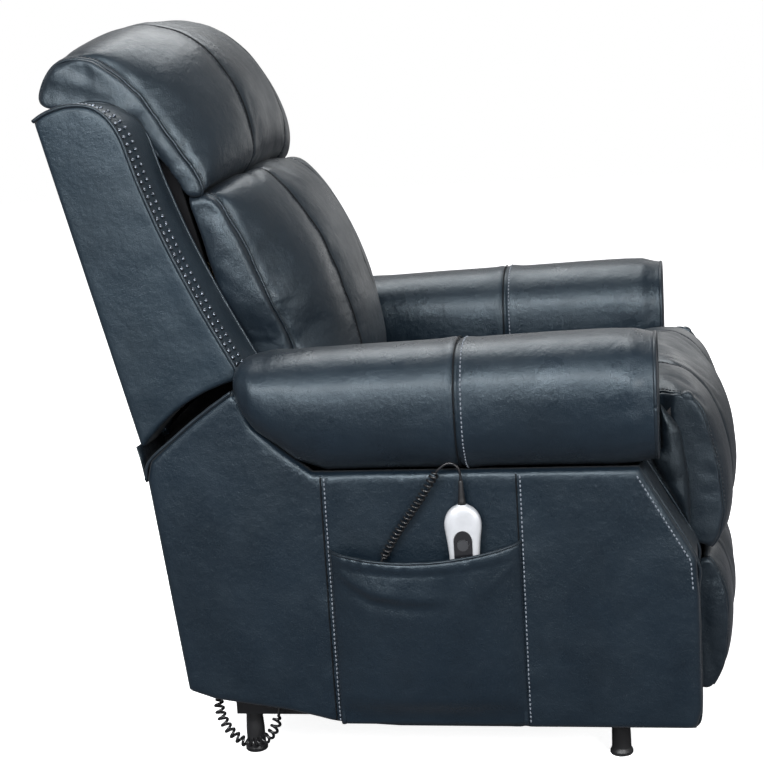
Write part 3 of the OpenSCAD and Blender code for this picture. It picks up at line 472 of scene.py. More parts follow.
def make_cords():
    hx, hy, gland = -407, -114, np.array([-401, 14, 318])
    loop = smooth([[hx, hy, 452], [hx, hy, 456], [hx, -113, 464], [hx, -109, 472], [hx, -101, 476], [hx, -92, 474],
                   [hx, -84, 468]], 6, closed=False)
    fall = smooth([[hx, -80, 464], [hx, -60, 432], [hx + 1, -38, 401], [hx + 2, -16, 370], [hx + 4, 3, 338]], 6,
                  closed=False)
    end = np.array([[hx + 6, 9, 328], [-405, 13, 320], gland + [-3, 0, 0], gland])
    route = np.vstack([loop, curly(fall, 5, 22, 18), end]) / 1000
    v, f = tube(route, 0.0018, 10)
    add("handset_cord_curl", v, f, cord_mat, "chassis", ("handset_cord",), "cord_rubber",
        cord=dict(exit=route[0], length=round(length_of(route), 3), diameter=0.0036, path=route))
    rear, front = np.array([-291, 280, 132]), np.array([-291, 190, 126])
    fall = smooth([[-325, 284, 96], [-330, 280, 72], [-331, 268, 46], [-331, 246, 28], [-331, 222, 28],
                   [-330, 202, 44], [-325, 192, 68]], 5, closed=False)
    route = np.vstack([[rear, rear + [-5, 0, 0], [-305, 281, 129], [-316, 283, 118], [-321, 284, 106]],
                       curly(fall, 6, 17, 18),
                       [[-322, 191, 82], [-316, 190, 100], [-306, 190, 117], front + [-5, 0, 0], front]]) / 1000
    v, f = tube(route, 0.0022, 10)
    add("motor_cord_curl", v, f, cord_mat, "chassis", ("motor_cord",), "cord_rubber",
        cord=dict(exit=route[0], length=round(length_of(route), 3), diameter=0.0044, path=route))


make_cords()


# ---------- cushions ----------

def crown(t):
    return 1 - (1 - t**2.4) ** 0.7


soft_jobs = []


def cushion(name, middle, side, half, box_w, body, replaces, seams, shrink=0.006, cap=0.022, flat=None,
            mat=None, fill=0.7, gather=0.0, seed=1, relief=None, widen=None, boxing=None, squeeze=None):
    """A crowned pad across the chair. seams: x of the sewn channels. flat(p) is 1 where it rests on a board.
    The shape starts slightly small, swells under pressure between its seams, and is capped."""
    c, s = smooth(mm(middle), 6), smooth(mm(side), 6)
    hub = s.mean(0)
    rings = []
    for x in np.linspace(-1, 1, 61):
        ring = c + (s - c) * crown(abs(x))
        rings.append(in_x(x * half / 1000, ring + unit(hub - ring) * shrink * 0.6))
    for a in np.radians([18, 36, 54, 72]):
        ring = s + (hub - s) * (0.04 * (1 - math.cos(a)) + 0.05 * math.sin(a) ** 2)
        ring = ring if boxing is None else boxing(ring)
        x = (half + box_w * math.sin(a)) / 1000
        rings.insert(0, in_x(-x, ring))
        rings.append(in_x(x, ring))
    for k in (0.4, 0.75):
        ring = s + (hub - s) * k
        ring = ring if boxing is None or k > 0.5 else boxing(ring)
        rings.insert(0, in_x(-(half + box_w) / 1000, ring))
        rings.append(in_x((half + box_w) / 1000, ring))
    v, f = loft(rings)
    if widen is not None:
        v[:, 0] *= widen(v)
    obj = add(name, v, f, mat or pad_mat, body, replaces, "leather", fill)
    obj.data.remesh_voxel_size = 0.0055
    bpy.context.view_layer.objects.active = obj
    bpy.ops.object.voxel_remesh()
    obj.data.shade_smooth()
    soft_jobs.append(dict(obj=obj, seams=seams, half=half / 1000, cap=cap, flat=flat, gather=gather, seed=seed,
                          relief=relief, squeeze=squeeze, widen=widen or (lambda q: np.ones(len(q)))))
    return obj


def coords(obj):
    a = np.empty(len(obj.data.vertices) * 3)
    obj.data.vertices.foreach_get("co", a)
    return a.reshape(-1, 3)


def vertex_normals(obj):
    a = np.empty(len(obj.data.vertices) * 3)
    obj.data.vertices.foreach_get("normal", a)
    return a.reshape(-1, 3)


def put(obj, p):
    obj.data.vertices.foreach_set("co", p.ravel())
    obj.data.update()


def calm(obj, move, held, times=14):
    """Moves averaged with their neighbours', so that only broad wrinkles are left; what is held stays."""
    ends = np.empty(len(obj.data.edges) * 2, dtype=np.int32)
    obj.data.edges.foreach_get("vertices", ends)
    a, b = ends.reshape(-1, 2).T
    count = np.bincount(ends, minlength=len(move))[:, None]
    free = (1 - held)[:, None]
    for _ in range(times):
        total = np.column_stack([np.bincount(a, move[b, k], len(move)) + np.bincount(b, move[a, k], len(move))
                                 for k in range(3)])
        move = free * (0.5 * move + 0.5 * total / np.maximum(count, 1))
    return move


def swell():
    """All cushions swell together: seams, edges and resting faces are held."""
    scene = bpy.context.scene
    for job in soft_jobs:
        obj, p = job["obj"], coords(job["obj"])
        job["start"] = p.copy()
        held = np.zeros(len(p))
        across = np.abs(p[:, 0]) / job["widen"](p)
        for x in job["seams"]:
            held = np.maximum(held, np.abs(across - x / 1000) < 0.0042)
        held = np.maximum(held, np.abs(across - job["half"]) < 0.0032)
        if job["flat"] is not None:
            held = np.maximum(held, job["flat"](p))
        job["held"] = held
        group = obj.vertex_groups.new(name="held")
        for i in np.flatnonzero(held > 0.5):
            group.add([int(i)], 1.0, "REPLACE")
        mod = obj.modifiers.new("Cloth", "CLOTH")
        s = mod.settings
        s.quality = 4
        s.mass = 0.4
        s.tension_stiffness = s.compression_stiffness = 12
        s.shear_stiffness = 6
        s.bending_stiffness = 1.2
        s.use_pressure = True
        s.uniform_pressure_force = 4
        s.shrink_min = -0.012
        s.effector_weights.gravity = 0
        s.vertex_group_mass = "held"
        mod.point_cache.frame_start, mod.point_cache.frame_end = 1, 20
    for i in range(1, 21):
        scene.frame_set(i)
    dg = bpy.context.evaluated_depsgraph_get()
    for job in soft_jobs:
        obj, start = job["obj"], job["start"]
        me = obj.evaluated_get(dg).to_mesh()
        p = np.empty(len(me.vertices) * 3)
        me.vertices.foreach_get("co", p)
        p = p.reshape(-1, 3)
        obj.evaluated_get(dg).to_mesh_clear()
        move = p - start
        size = np.linalg.norm(move, axis=1, keepdims=True)
        move *= np.minimum(1, job["cap"] / np.maximum(size, 1e-9))
        p = start + 0.3 * move + 0.7 * calm(obj, move, job["held"])
        job["swollen"] = p
    for job in soft_jobs:
        obj = job["obj"]
        obj.modifiers.clear()
        put(obj, job["swollen"])
        obj.vertex_groups.clear()
    scene.frame_set(1)
    for job in soft_jobs:
        obj, p = job["obj"], job["swollen"]
        n = vertex_normals(obj)
        lift = np.zeros(len(p))
        across = np.abs(p[:, 0]) / job["widen"](p)
        for k, x in enumerate(job["seams"]):
            off = np.abs(across - x / 1000)
            lift -= 0.0035 * np.exp(-(off / 0.0045) ** 2)
            lift += 0.0009 * waves(p * [0.4, 1, 1], 0.017, job["seed"] + k) * np.exp(-off / 0.014)
        off = np.abs(across - job["half"])
        lift -= 0.0022 * np.exp(-((off - 0.001) / 0.004) ** 2)
        lift += 0.0012 * waves(p * [0.5, 1, 1], 0.02, job["seed"] + 7) * np.exp(-off / 0.016)
        lift += 0.0012 * waves(p, 0.07, job["seed"] + 9)
        if job["gather"]:
            end = np.clip((across - job["half"] + 0.002) / 0.004, 0, 1)
            spoke = p[:, 1:] - p[:, 1:].mean(0)
            rim = np.clip((np.linalg.norm(spoke, axis=1) - 0.035) / 0.06, 0, 1)
            lift += end * rim * job["gather"] * waves(in_x(0, unit(spoke) * 0.08), 0.0115, job["seed"] + 11)
        if job["relief"] is not None:
            lift += job["relief"](p, n)
        if job["flat"] is not None:
            lift *= 1 - job["flat"](p)
        p = p + n * lift[:, None]
        if job["squeeze"] is not None:
            most = job["squeeze"](p)
            p[:, 0] = np.clip(p[:, 0], -most, most)
        put(obj, p)
        mod = obj.modifiers.new("Smooth", "SUBSURF")
        mod.levels = mod.render_levels = 1


def seam_line(tree, profile, x, a, b, count=90, lift=0.0, widen=None):
    """The seam's line on a cushion, along its profile from point a to point b."""
    p = smooth(mm(profile), 6)
    n = len(p)
    i, j = a * 6, b * 6
    idx = [k % n for k in range(i, (j if j > i else j + n) + 1)]
    line = even(in_x(x / 1000, p[idx]), count)
    if widen is not None:
        line[:, 0] *= widen(line)
    at, normal = on_surface(tree, line, lift)
    at[:, 0] = line[:, 0]
    return settle(at, 3), normal


BACK_MID = [[282, 850], [262, 858], [234, 868], [203, 877], [158, 836], [112, 764], [82, 680], [63, 596], [66, 530],
            [100, 504], [183, 510], [205, 530], [224, 600], [264, 770]]
BACK_SIDE = [[284, 842], [276, 850], [262, 852], [240, 840], [214, 792], [188, 728], [162, 662], [142, 600], [124, 540],
             [128, 512], [183, 510], [205, 530], [224, 600], [264, 770]]
PILLOW_MID = [[488, 992], [490, 1036], [448, 1086], [368, 1104], [290, 1078], [240, 1016], [216, 950], [214, 893],
              [244, 860], [280, 851], [302, 900], [345, 960], [436, 979]]
PILLOW_SIDE = [[492, 992], [490, 1022], [460, 1052], [408, 1052], [352, 1010], [298, 930], [264, 878], [258, 852],
               [266, 846], [282, 852], [304, 900], [347, 960], [436, 979]]
SEAT_MID = [[100, 502], [40, 516], [-100, 526], [-230, 536], [-298, 545], [-315, 534], [-315, 452], [-298, 441],
            [-100, 441], [80, 441], [112, 460]]
SEAT_SIDE = [[100, 488], [40, 496], [-100, 503], [-230, 512], [-298, 519], [-315, 511], [-315, 452], [-298, 441],
             [-100, 441], [80, 441], [112, 460]]
PAD_MID = [[-300, 544], [-321, 549], [-360, 560], [-398, 563], [-430, 550], [-452, 527], [-468, 502], [-481, 468],
           [-491, 420], [-492, 362], [-484, 320], [-462, 303], [-444, 313], [-440, 345], [-440, 400], [-440, 450],
           [-440, 484], [-434, 508], [-418, 522], [-398, 516], [-360, 512], [-322, 512], [-304, 518]]
PAD_SIDE = [[-300, 520], [-321, 527], [-360, 535], [-396, 539], [-418, 538], [-436, 528], [-449, 505], [-461, 465],
            [-471, 414], [-474, 362], [-467, 322], [-455, 305], [-444, 314], [-441, 345], [-440, 400], [-440, 450],
            [-440, 484], [-434, 508], [-418, 520], [-398, 515], [-360, 512], [-322, 512], [-304, 514]]
FOOT_MID = [[-451, 297], [-472, 276], [-486, 230], [-489, 180], [-480, 130], [-458, 92], [-442, 92], [-440, 150],
            [-440, 220], [-441, 285]]
FOOT_SIDE = [[-451, 293], [-466, 272], [-476, 230], [-478, 180], [-471, 132], [-455, 94], [-443, 94], [-442, 150],
             [-442, 220], [-443, 283]]


def make_cushions():
    cushion("seat_cushion_skin", SEAT_MID, SEAT_SIDE, 247, 9, "chassis", ("seat_cushion",), (124,), seed=3,
            flat=lambda p: np.clip((0.455 - p[:, 2]) / 0.006, 0, 1))
    def between_arms(p):
        """Narrower where it sits between the arms."""
        t = np.clip((0.70 - p[:, 2]) / 0.08, 0, 1)
        return 1 - 0.06 * t * t * (3 - 2 * t)

    cushion("back_cushion_skin", BACK_MID, BACK_SIDE, 256, 17, "back", ("back_cushion",), (106,), seed=20, fill=0.8,
            widen=between_arms, squeeze=lambda p: 0.2588 + 0.03 * np.clip((p[:, 2] - 0.63) / 0.06, 0, 1),
            flat=lambda p: np.clip((p[:, 1] - (0.195 + (p[:, 2] - 0.53) * 0.26)) / 0.012, 0, 1), gather=0.0008)
    cushion("head_pillow_skin", PILLOW_MID, PILLOW_SIDE, 267.6, 9, "back", ("head_pillow",), (107,), seed=40, fill=0.9,
            flat=lambda p: np.clip(((0.99 - p[:, 2]) - np.maximum(0, 0.43 - p[:, 1]) * 1.15) / 0.012, 0, 1)
            * (p[:, 1] > 0.285), gather=0.0024)
    def over_board(ring):
        """The boxing reaches back over the edge of the leg board."""
        back = np.clip((ring[:, 0] + 0.4475) / 0.004, 0, 1) * np.clip((0.497 - ring[:, 1]) / 0.006, 0, 1)
        return ring + np.column_stack([0.0135 * back, 0 * back])

    def flare(p):
        """Wider in front of the rolls than between them."""
        t = np.clip((-0.386 - p[:, 1]) / 0.022, 0, 1)
        return 1 + 0.066 * t * t * (3 - 2 * t)

    cushion("chaise_pad_skin", PAD_MID, PAD_SIDE, 243, 9, "chassis", ("seat_front_roll", "leg_pad"), (124,), seed=60,
            flat=lambda p: np.clip(np.maximum((p[:, 1] + 0.444) / 0.004 * (p[:, 2] < 0.5), (0.521 - p[:, 2]) / 0.004
                                              * (p[:, 1] > -0.42)), 0, 1), gather=0.001, widen=flare, boxing=over_board)
    cushion("foot_pad_skin", FOOT_MID, FOOT_SIDE, 243, 9, "legrest", ("foot_pad",), (124,), seed=80, cap=0.016,
            flat=lambda p: np.clip((p[:, 1] + 0.447) / 0.004, 0, 1), gather=0.001, widen=flare, boxing=over_board)


def board_wrap():
    """Leather over the side edges of the leg board and over the hinges."""
    for name, side in SIDES:
        a = np.arange(40) * 2 * math.pi / 40
        rings = [np.column_stack([np.full(40, side * x), -424 + r * np.cos(a), 528 + r * np.sin(a)]) / 1000
                 for x, r in ((250, 4), (250, 9), (251, 10.2), (256, 10.8), (262, 10.7), (266, 9.8), (267.4, 7.5),
                              (268, 4), (268.1, 1))]
        v, f = loft(rings)
        add(f"hinge_cover_{name}", v, f, pad_mat, "chassis", slot="leather")
        shape = mm([[247.3, -438.6], [249.4, -438.6], [249.8, -432], [249.2, -426.2], [248, -425.1], [240, -425.1],
                    [240, -426.5], [247.3, -426.6]])
        rings = [np.column_stack([side * (shape[:, 0] + 0.0004 * math.sin(90 * z)), shape[:, 1], np.full(len(shape), z)])
                 for z in np.linspace(0.1085, 0.4815, 40)]
        v, f = loft(rings)
        # painted shade: the wrap under the chaise pad takes the darkened copy of the navy leather
        add(f"leg_board_wrap_{name}", v, f, shaded_leather_mat, "legrest", slot="dark_leather")


def make_bolster():
    low = [[-323, 504], [-362, 500], [-394, 482], [-409, 446], [-411, 400], [-398, 377], [-366, 376], [-348, 400],
           [-347, 440], [-323, 444]]
    high = [[-323, 504], [-362, 500], [-390, 490], [-400, 482], [-398, 474], [-390, 468], [-375, 466], [-360, 466],
            [-347, 458], [-323, 444]]
    a, b = smooth(mm(low), 8), smooth(mm(high), 8)
    rings = []
    for x in np.concatenate([[-260.6, -257], np.linspace(-249, 249, 101), [257, 260.6]]):
        t = np.clip((221 - abs(x)) / 8, 0, 1)
        ring = a + (b - a) * t
        hub = ring.mean(0)
        end = 0.3 if abs(x) > 260 else 0.06 if abs(x) > 255 else 0
        rings.append(in_x(x / 1000, ring + (hub - ring) * end))
    v, f = loft(rings)
    hub = np.array([-0.37, 0.45])
    out = np.column_stack([np.zeros(len(v)), unit(v[:, 1:] - hub)])
    fold = waves(v * [1, 0.3, 0.25], 0.030, 5) * np.clip((0.262 - np.abs(v[:, 0])) / 0.02, 0, 1)
    v = v + out * (0.0022 * fold - 0.0022)[:, None] * (v[:, 1] < -0.33)[:, None]
    # painted shade: the bolster under the seat front takes the darkened copy of the navy leather
    add("seat_bolster_skin", v, f, shaded_leather_mat, "chassis", ("seat_bolster",), "dark_leather", 0.5)


make_cushions()
board_wrap()
make_bolster()
swell()


# ---------- arms ----------

ARM_FRONT = mm([[-427, 80], [-436, 108], [-436, 272], [-433, 330], [-361, 456]])
ARM_TOP = mm([[-361, 461], [100, 461], [150, 500], [182, 530], [198, 569]])
ARM_SLANT = mm([[208, 581], [259, 546], [296, 517], [336, 483]])
ARM_REAR = mm([[343, 456], [308, 133]])
SKIRT = mm([[268, 119], [157, 103], [83, 85], [-5, 80]])
SEAM_REAR = mm([[81, 466], [81, 60]])
SEAM_FRONT = mm([[-192, 466], [-192, 60]])


def rounded(d, r):
    """Height that falls by r from inside to the edge, on a quarter circle."""
    return r * (np.sqrt(np.maximum(0, 1 - (1 - np.minimum(d / r, 1)) ** 2)) - 1)


def seam_relief(p, line, seed, depth=0.0024, width=0.0026, pucker=0.0009, reach=0.02):
    off = to_line(p, line)
    return (-depth * np.exp(-(off / width) ** 2) + 0.3 * depth * np.exp(-((off - 0.011) / 0.008) ** 2)
            + pucker * waves(p, 0.021, seed) * np.exp(-off / reach))


def arm_panel(name, side):
    outline = np.vstack([ARM_FRONT, ARM_TOP, ARM_SLANT, ARM_REAR, SKIRT])

    def height(p, d):
        h = rounded(d, 0.009) - 0.0012 + 0.0022 * (1 - np.exp(-d / 0.05))
        for line, seed in ((SEAM_REAR, 3), (SEAM_FRONT, 4)):
            h += seam_relief(p, line + [0.0045, 0], seed + 10 * side)
        h += 0.0012 * waves(p, 0.16, 30 + side) * np.clip(d / 0.03, 0, 1)
        h += 0.0007 * waves(p, 0.035, 31 + side) * np.exp(-d / 0.03) * np.clip(d / 0.01, 0, 1)
        return np.minimum(h, 0.0035)

    v, f = panel(outline, 0.0075, height,
                 lambda p, h, s: in_x(0, p) + np.column_stack([side * (0.3752 + s * (0.0198 + h)), 0 * p]))
    obj = add(f"arm_outer_{name}_skin", v, f, leather_mat, "chassis", (f"arm_outer_{name}",), "leather")
    tree = surface(obj)
    lines = []
    for y in (83, -194):
        line = even(mm([[side * 410, y - 1, 452], [side * 410, y - 1, 92]]), 80)
        at, n = on_surface(tree, line)
        lines.append((np.column_stack([at[:, 0], line[:, 1:]]), n))
        # painted shade: a dark cord in the seam's groove
        line = even(mm([[side * 410, y + 4.5, 456], [side * 410, y + 4.5, 90]]), 80)
        at, n = on_surface(tree, line)
        vv, ff = tube(settle(np.column_stack([at[:, 0], line[:, 1:]]), 4), 0.0010, 6)
        add(f"arm_outer_{name}_seam_{'rear' if y > 0 else 'front'}", vv, ff, seam_shade_mat, "chassis", slot="leather")
    slope = even(smooth(mm([[side * 410, -358, 449], [side * 410, -395, 387], [side * 410, -425, 334], [side * 410, -430, 290]]),
                        8, closed=False), 60)
    lines.append(on_surface(tree, slope))
    stitches(f"arm_outer_{name}_topstitch", "chassis", lines, thread_mat, slot="leather")
    return obj


def arm_roll(name, side):
    stations = np.array([
        [-385, 0, 0, 0.925, 0.90], [-384.5, 0, 0, 0.94, 0.92], [-382, 0, 0, 0.952, 0.94], [-376, 0, 0, 0.957, 0.952],
        [-366, 0, 0, 0.972, 0.972], [-354, 0, 0, 1.004, 0.995], [-325, 0, 0, 1.012, 1.012], [-240, 0, 0, 1, 1],
        [-122, 0, -1, 0.985, 0.98], [-116, 0, -1, 0.975, 0.97], [-110, 0, -1, 0.985, 0.98], [0, 0, -4, 0.97, 0.955],
        [80, 0, -7, 0.955, 0.94], [120, 0, -1, 0.95, 0.86], [150, 0, 10, 0.93, 0.725], [176, 0, 19, 0.87, 0.58],
        [193, 0, 27, 0.76, 0.44], [203, 0, 32, 0.60, 0.29], [207, 0, 35, 0.42, 0.18]])
    ys = np.concatenate([[-385, -384.8, -384.5, -383.5, -382, -379, -376, -371], np.arange(-366, 196, 4.2),
                         [197, 200, 203, 205, 206.4, 207]])
    a = np.arange(120) * 2 * math.pi / 120
    q = (np.abs(np.cos(a)) ** 2.4 + np.abs(np.sin(a)) ** 2.4) ** (-1 / 2.4)
    rings = []
    for y in ys:
        _, cx, cz, w, h = [np.interp(y, stations[:, 0], stations[:, i]) for i in range(5)]
        rings.append(np.column_stack([344 + cx + 86 * w * q * np.cos(a), np.full(120, y),
                                      553 + cz + 92 * h * q * np.sin(a)]) / 1000)
    rings = [rings[0] + (rings[0].mean(0) - rings[0]) * k for k in (0.85, 0.6, 0.35, 0.15)] + rings
    v, f = loft(rings)
    face = v[:, 1] < -0.3849
    d = np.hypot(v[:, 0] - 0.344, v[:, 2] - 0.553)
    v[face, 1] -= 0.003 * np.clip(1 - (d[face] / 0.075) ** 2, 0, 1)
    out = np.column_stack([v[:, 0] - 0.344, np.zeros(len(v)), v[:, 2] - 0.553])
    out = unit(out)
    off = np.abs(v[:, 1] + 0.116)
    lift = -0.0030 * np.exp(-((v[:, 1] + 0.1125) / 0.0026) ** 2) + 0.0010 * np.exp(-((off - 0.012) / 0.008) ** 2)
    lift += 0.0010 * waves(v, 0.024, 50 + side) * np.exp(-off / 0.02)
    near_end = np.exp(-np.maximum(v[:, 1] + 0.372, 0) / 0.022)
    lift += 0.0016 * waves(v * [1, 0.5, 1], 0.016, 56 + side) * near_end
    lift += 0.0016 * waves(v * [1, 0.45, 1], 0.1, 52 + side)
    rear = np.clip((v[:, 1] - 0.09) / 0.06, 0, 1)
    lift += 0.0014 * waves(v * [0.5, 1, 0.5], 0.03, 54 + side) * rear
    front = np.clip((v[:, 1] + 0.372) / 0.02, 0, 1)
    v = v + out * (lift * np.where(face, 0, front))[:, None]
    v[:, 0] *= side
    obj = add(f"arm_roll_{name}_skin", v, f, leather_mat, "chassis", (f"arm_roll_{name}",), "leather", 0.9)
    tree = surface(obj)
    ring = np.column_stack([side * (0.344 + 0.12 * np.cos(a)), np.full(120, -0.116), 0.553 + 0.12 * np.sin(a)])
    lines = []
    for off_y in (-0.0022, 0.0035):
        start = ring + [0, off_y, 0]
        lines.append(on_surface(tree, np.vstack([start, start[:1]])))
    stitches(f"arm_roll_{name}_topstitch", "chassis", lines[:1], thread_mat, slot="leather")
    # painted shade: a dark cord in the roll seam's groove
    dark = settle(lines[1][0][:-1], 3)
    dark[:, 1] = -0.1125
    vv, ff = tube(np.vstack([dark, dark[:1]]), 0.0011, 6)
    add(f"arm_roll_{name}_seam", vv, ff, seam_shade_mat, "chassis", slot="leather")
    welt = np.array([[side * (344 + 86 * 0.94 * s * math.cos(t)), -384, 553 + 92 * 0.925 * s * math.sin(t)]
                     for t, s in zip(a, q)]) / 1000
    vv, ff = tube(np.vstack([welt, welt[:1]]), 0.0028, 8)
    add(f"arm_roll_{name}_welt", vv, ff, pipe_mat, "chassis", slot="leather")


def band(name, side, line, x0, x1, t, replaces, mat, seed):
    """A padded strip x0 to x1 along a side-view line, t thick on its inner side."""
    line = even(line, max(30, int(length_of(line) / 0.006)))
    tan = unit(np.vstack([line[1] - line[0], line[2:] - line[:-2], line[-1] - line[-2]]))
    inward = np.column_stack([tan[:, 1], -tan[:, 0]])
    xs = np.linspace(0, 1, 23)
    rings = []
    for k, (p, q) in enumerate(zip(line, inward)):
        end = min(k, len(line) - 1 - k) * 0.006
        across = x0 + (x1 - x0) * xs
        d = np.minimum(np.minimum(across - x0, x1 - across), end + 0.001)
        h = rounded(d, 0.006) + 0.0022 * (1 - np.exp(-d / 0.02)) - 0.001
        h = h + 0.0009 * waves(np.column_stack([across, np.full(23, k * 0.006)]), 0.05, seed)
        face = np.array([[side * x, *(p - q * hh)] for x, hh in zip(across, h)])
        back = np.array([[side * x, *(p + q * t)] for x in (x1, x0)])
        rings.append(np.vstack([face, back]))
    v, f = loft(rings)
    return add(name, v, f, mat, "chassis", replaces, "leather")


def arm_front(name, side):
    band(f"arm_front_{name}_skin", side, ARM_FRONT, 0.2834, 0.3746, 0.0158, (f"arm_front_{name}",), leather_mat, 61 + side)
    line = smooth(ARM_FRONT, 8, closed=False)
    for tag, x in (("outer", 0.3772), ("inner", 0.2845)):
        route = in_x(side * x, line + [0.002, 0])
        v, f = tube(even(route, 90), 0.0027, 8)
        add(f"arm_front_{name}_{tag}_welt", v, f, pipe_mat, "chassis", slot="leather")


def arm_rear(name, side):
    line = np.vstack([ARM_SLANT[:1], ARM_SLANT[1:], ARM_REAR])
    band(f"arm_rear_{name}_skin", side, line, 0.2834, 0.3746, 0.0158, (f"arm_rear_{name}",), leather_mat, 71 + side)


def arm_inner(name, side):
    outline = mm([[-424, 112], [-424, 272], [-425, 347], [-424, 422], [-414, 489], [-391, 519], [-386, 526], [-386, 461],
                  [100, 461], [150, 500], [182, 530], [198, 569], [208, 581], [259, 546], [296, 517], [336, 483],
                  [343, 456], [308, 140], [255, 124], [83, 112]])

    def height(p, d):
        return rounded(d, 0.005) - 0.0008 + 0.0006 * waves(p, 0.12, 80 + side)

    v, f = panel(outline, 0.012, height,
                 lambda p, h, s: in_x(0, p) + np.column_stack([side * (0.2828 - s * (0.0175 + h)), 0 * p]))
    # painted shade: the inner face of the arm takes the darkened copy of the navy leather
    add(f"arm_inner_{name}_skin", v, f, shaded_leather_mat, "chassis", (f"arm_inner_{name}",), "dark_leather")
    lip = mm([[-425, 344], [-426, 380], [-424.5, 422], [-414.5, 489], [-392, 520], [-387, 526.5], [-387, 463], [-367, 458]])

    def puff(p, d):
        fold = waves(np.column_stack([p[:, 0] * 0.5 + p[:, 1] * 0.25, p[:, 1] - 0.45 * p[:, 0]]), 0.026, 84)
        return rounded(d, 0.006) + 0.009 * (1 - np.exp(-d / 0.014)) + 0.0022 * fold * np.clip(d / 0.006, 0, 1)

    v, f = panel(lip, 0.004, puff,
                 lambda p, h, s: in_x(0, p) + np.column_stack([side * (0.2832 + s * (0.0062 + h)), 0 * p]))
    # painted shade: the lip at the arm's front takes the darkened copy of the navy leather
    add(f"arm_lip_{name}", v, f, shaded_leather_mat, "chassis", slot="dark_leather")


def lining(name, side):
    """The black cloth that closes the side between the arm and the wing's lower edge."""
    a = np.radians(np.linspace(79, 34, 40))
    arc = np.column_stack([0.151 + 0.2495 * np.cos(a), 0.343 + 0.2495 * np.sin(a)])
    low = np.column_stack([0.151 + 0.212 * np.cos(a), 0.343 + 0.212 * np.sin(a)])
    outline = np.vstack([arc, low[::-1]])
    v, f = panel(outline, 0.008, lambda p, d: 0.0006 * waves(p, 0.03, 88 + side) - 0.0004,
                 lambda p, h, s: in_x(0, p) + np.column_stack([side * (0.2606 + s * (0.0018 + h)), 0 * p]))
    add(f"arm_lining_{name}", v, f, cloth_mat, "chassis", slot="dark_leather")
    edge = smooth(np.vstack([ARM_SLANT, ARM_REAR[:1]]), 5, closed=False)
    v, f = tube(even(in_x(side * 0.3945, edge), 60), 0.0024, 8)
    add(f"arm_slant_{name}_welt", v, f, pipe_mat, "chassis", slot="leather")


def make_arms():
    for name, side in SIDES:
        arm_panel(name, side)
        arm_roll(name, side)
        arm_front(name, side)
        arm_rear(name, side)
        arm_inner(name, side)
        lining(name, side)


make_arms()


# ---------- back: wings, nails, outer panels ----------

WING_EDGE = smooth(mm([[474, 971], [461, 979], [446, 985], [424, 990], [402, 990], [385, 986], [371, 977], [358, 962],
                       [347, 940], [337, 907], [325, 869], [295, 789], [252, 695], [205, 604]]), 4, closed=False)
WING_ARC = np.array([[151 + 254 * math.cos(math.radians(a)), 343 + 254 * math.sin(math.radians(a))]
                     for a in np.linspace(76.5, 35.5, 9)]) / 1000


def nails(name, body, points, normals, pitch, r, mat):
    count = int(length_of(points) / pitch)
    p, n = even(points, count), unit(even(normals, count))
    a = np.arange(12) * math.pi / 6
    parts = []
    for c, k in zip(p, n):
        u = unit(np.cross(k, [0.3, 0.9, 0.2]))
        w = np.cross(k, u)
        parts.append(loft([c + k * h * r + r * q * (np.cos(a)[:, None] * u + np.sin(a)[:, None] * w)
                           for q, h in ((0.9, -0.4), (1.0, 0), (0.92, 0.28), (0.68, 0.52), (0.34, 0.66), (0.08, 0.7))]))
    v, f = merge(parts)
    add(name, v, f, mat, body, slot="zinc")


def forward(line, by, lift=0.0):
    """A wing's edge line moved forward down the front, and lifted along the top."""
    t = np.clip((0.985 - line[:, 1]) / 0.045, 0, 1) * (line[:, 0] < 0.41)
    return line - np.column_stack([by * t, -lift * (1 - t)])


def wing(name, side):
    outline = np.vstack([WING_EDGE, WING_ARC])
    front_line = WING_EDGE[WING_EDGE[:, 0] < 0.36]

    def height(p, d):
        h = rounded(d, 0.007) - 0.0005 + 0.003 * (1 - np.exp(-d / 0.05))
        h += 0.0010 * waves(p, 0.13, 90 + side) * np.clip(d / 0.03, 0, 1)
        h += 0.0008 * waves(p, 0.03, 91 + side) * np.exp(-d / 0.035) * np.clip(d / 0.01, 0, 1)
        return np.minimum(h, 0.0032)

    def place(p, h, s):
        near = np.clip(1 - to_line(p, front_line) / 0.05, 0, 1)
        y = p[:, 0] - 0.015 * near * (1 - s) - 0.003 * near * math.sin(math.pi * s)
        return np.column_stack([side * (0.2772 + s * (0.0826 + h)), y, p[:, 1]])

    v, f = panel(outline, 0.009, height, place, levels=10)
    # painted light: the wing takes the lightened copy of the navy leather
    obj = add(f"wing_{name}_skin", v, f, lit_wing_mat, "back", (f"wing_{name}",), "leather")
    tree = surface(obj)
    for tag, x, by, r in (("welt", 0.3585, 0, 0.0028), ("inner_welt", 0.2795, 0.0145, 0.0026)):
        vv, ff = tube(even(in_x(side * x, forward(WING_EDGE, by)), 160), r, 8)
        add(f"wing_{name}_{tag}", vv, ff, pipe_mat, "back", slot="leather")
    for tag, x, by in (("outer", 0.3495, 0.0195), ("inner", 0.3335, 0.0225)):
        at, n = on_surface(tree, even(in_x(side * x, forward(WING_EDGE, by, 0.015)), 160))
        at[:, 0] = side * x
        nails(f"wing_{name}_{tag}_nails", "back", settle(at, 2), n, 0.0108, 0.0039 if tag == "outer" else 0.0034, nail_mat)


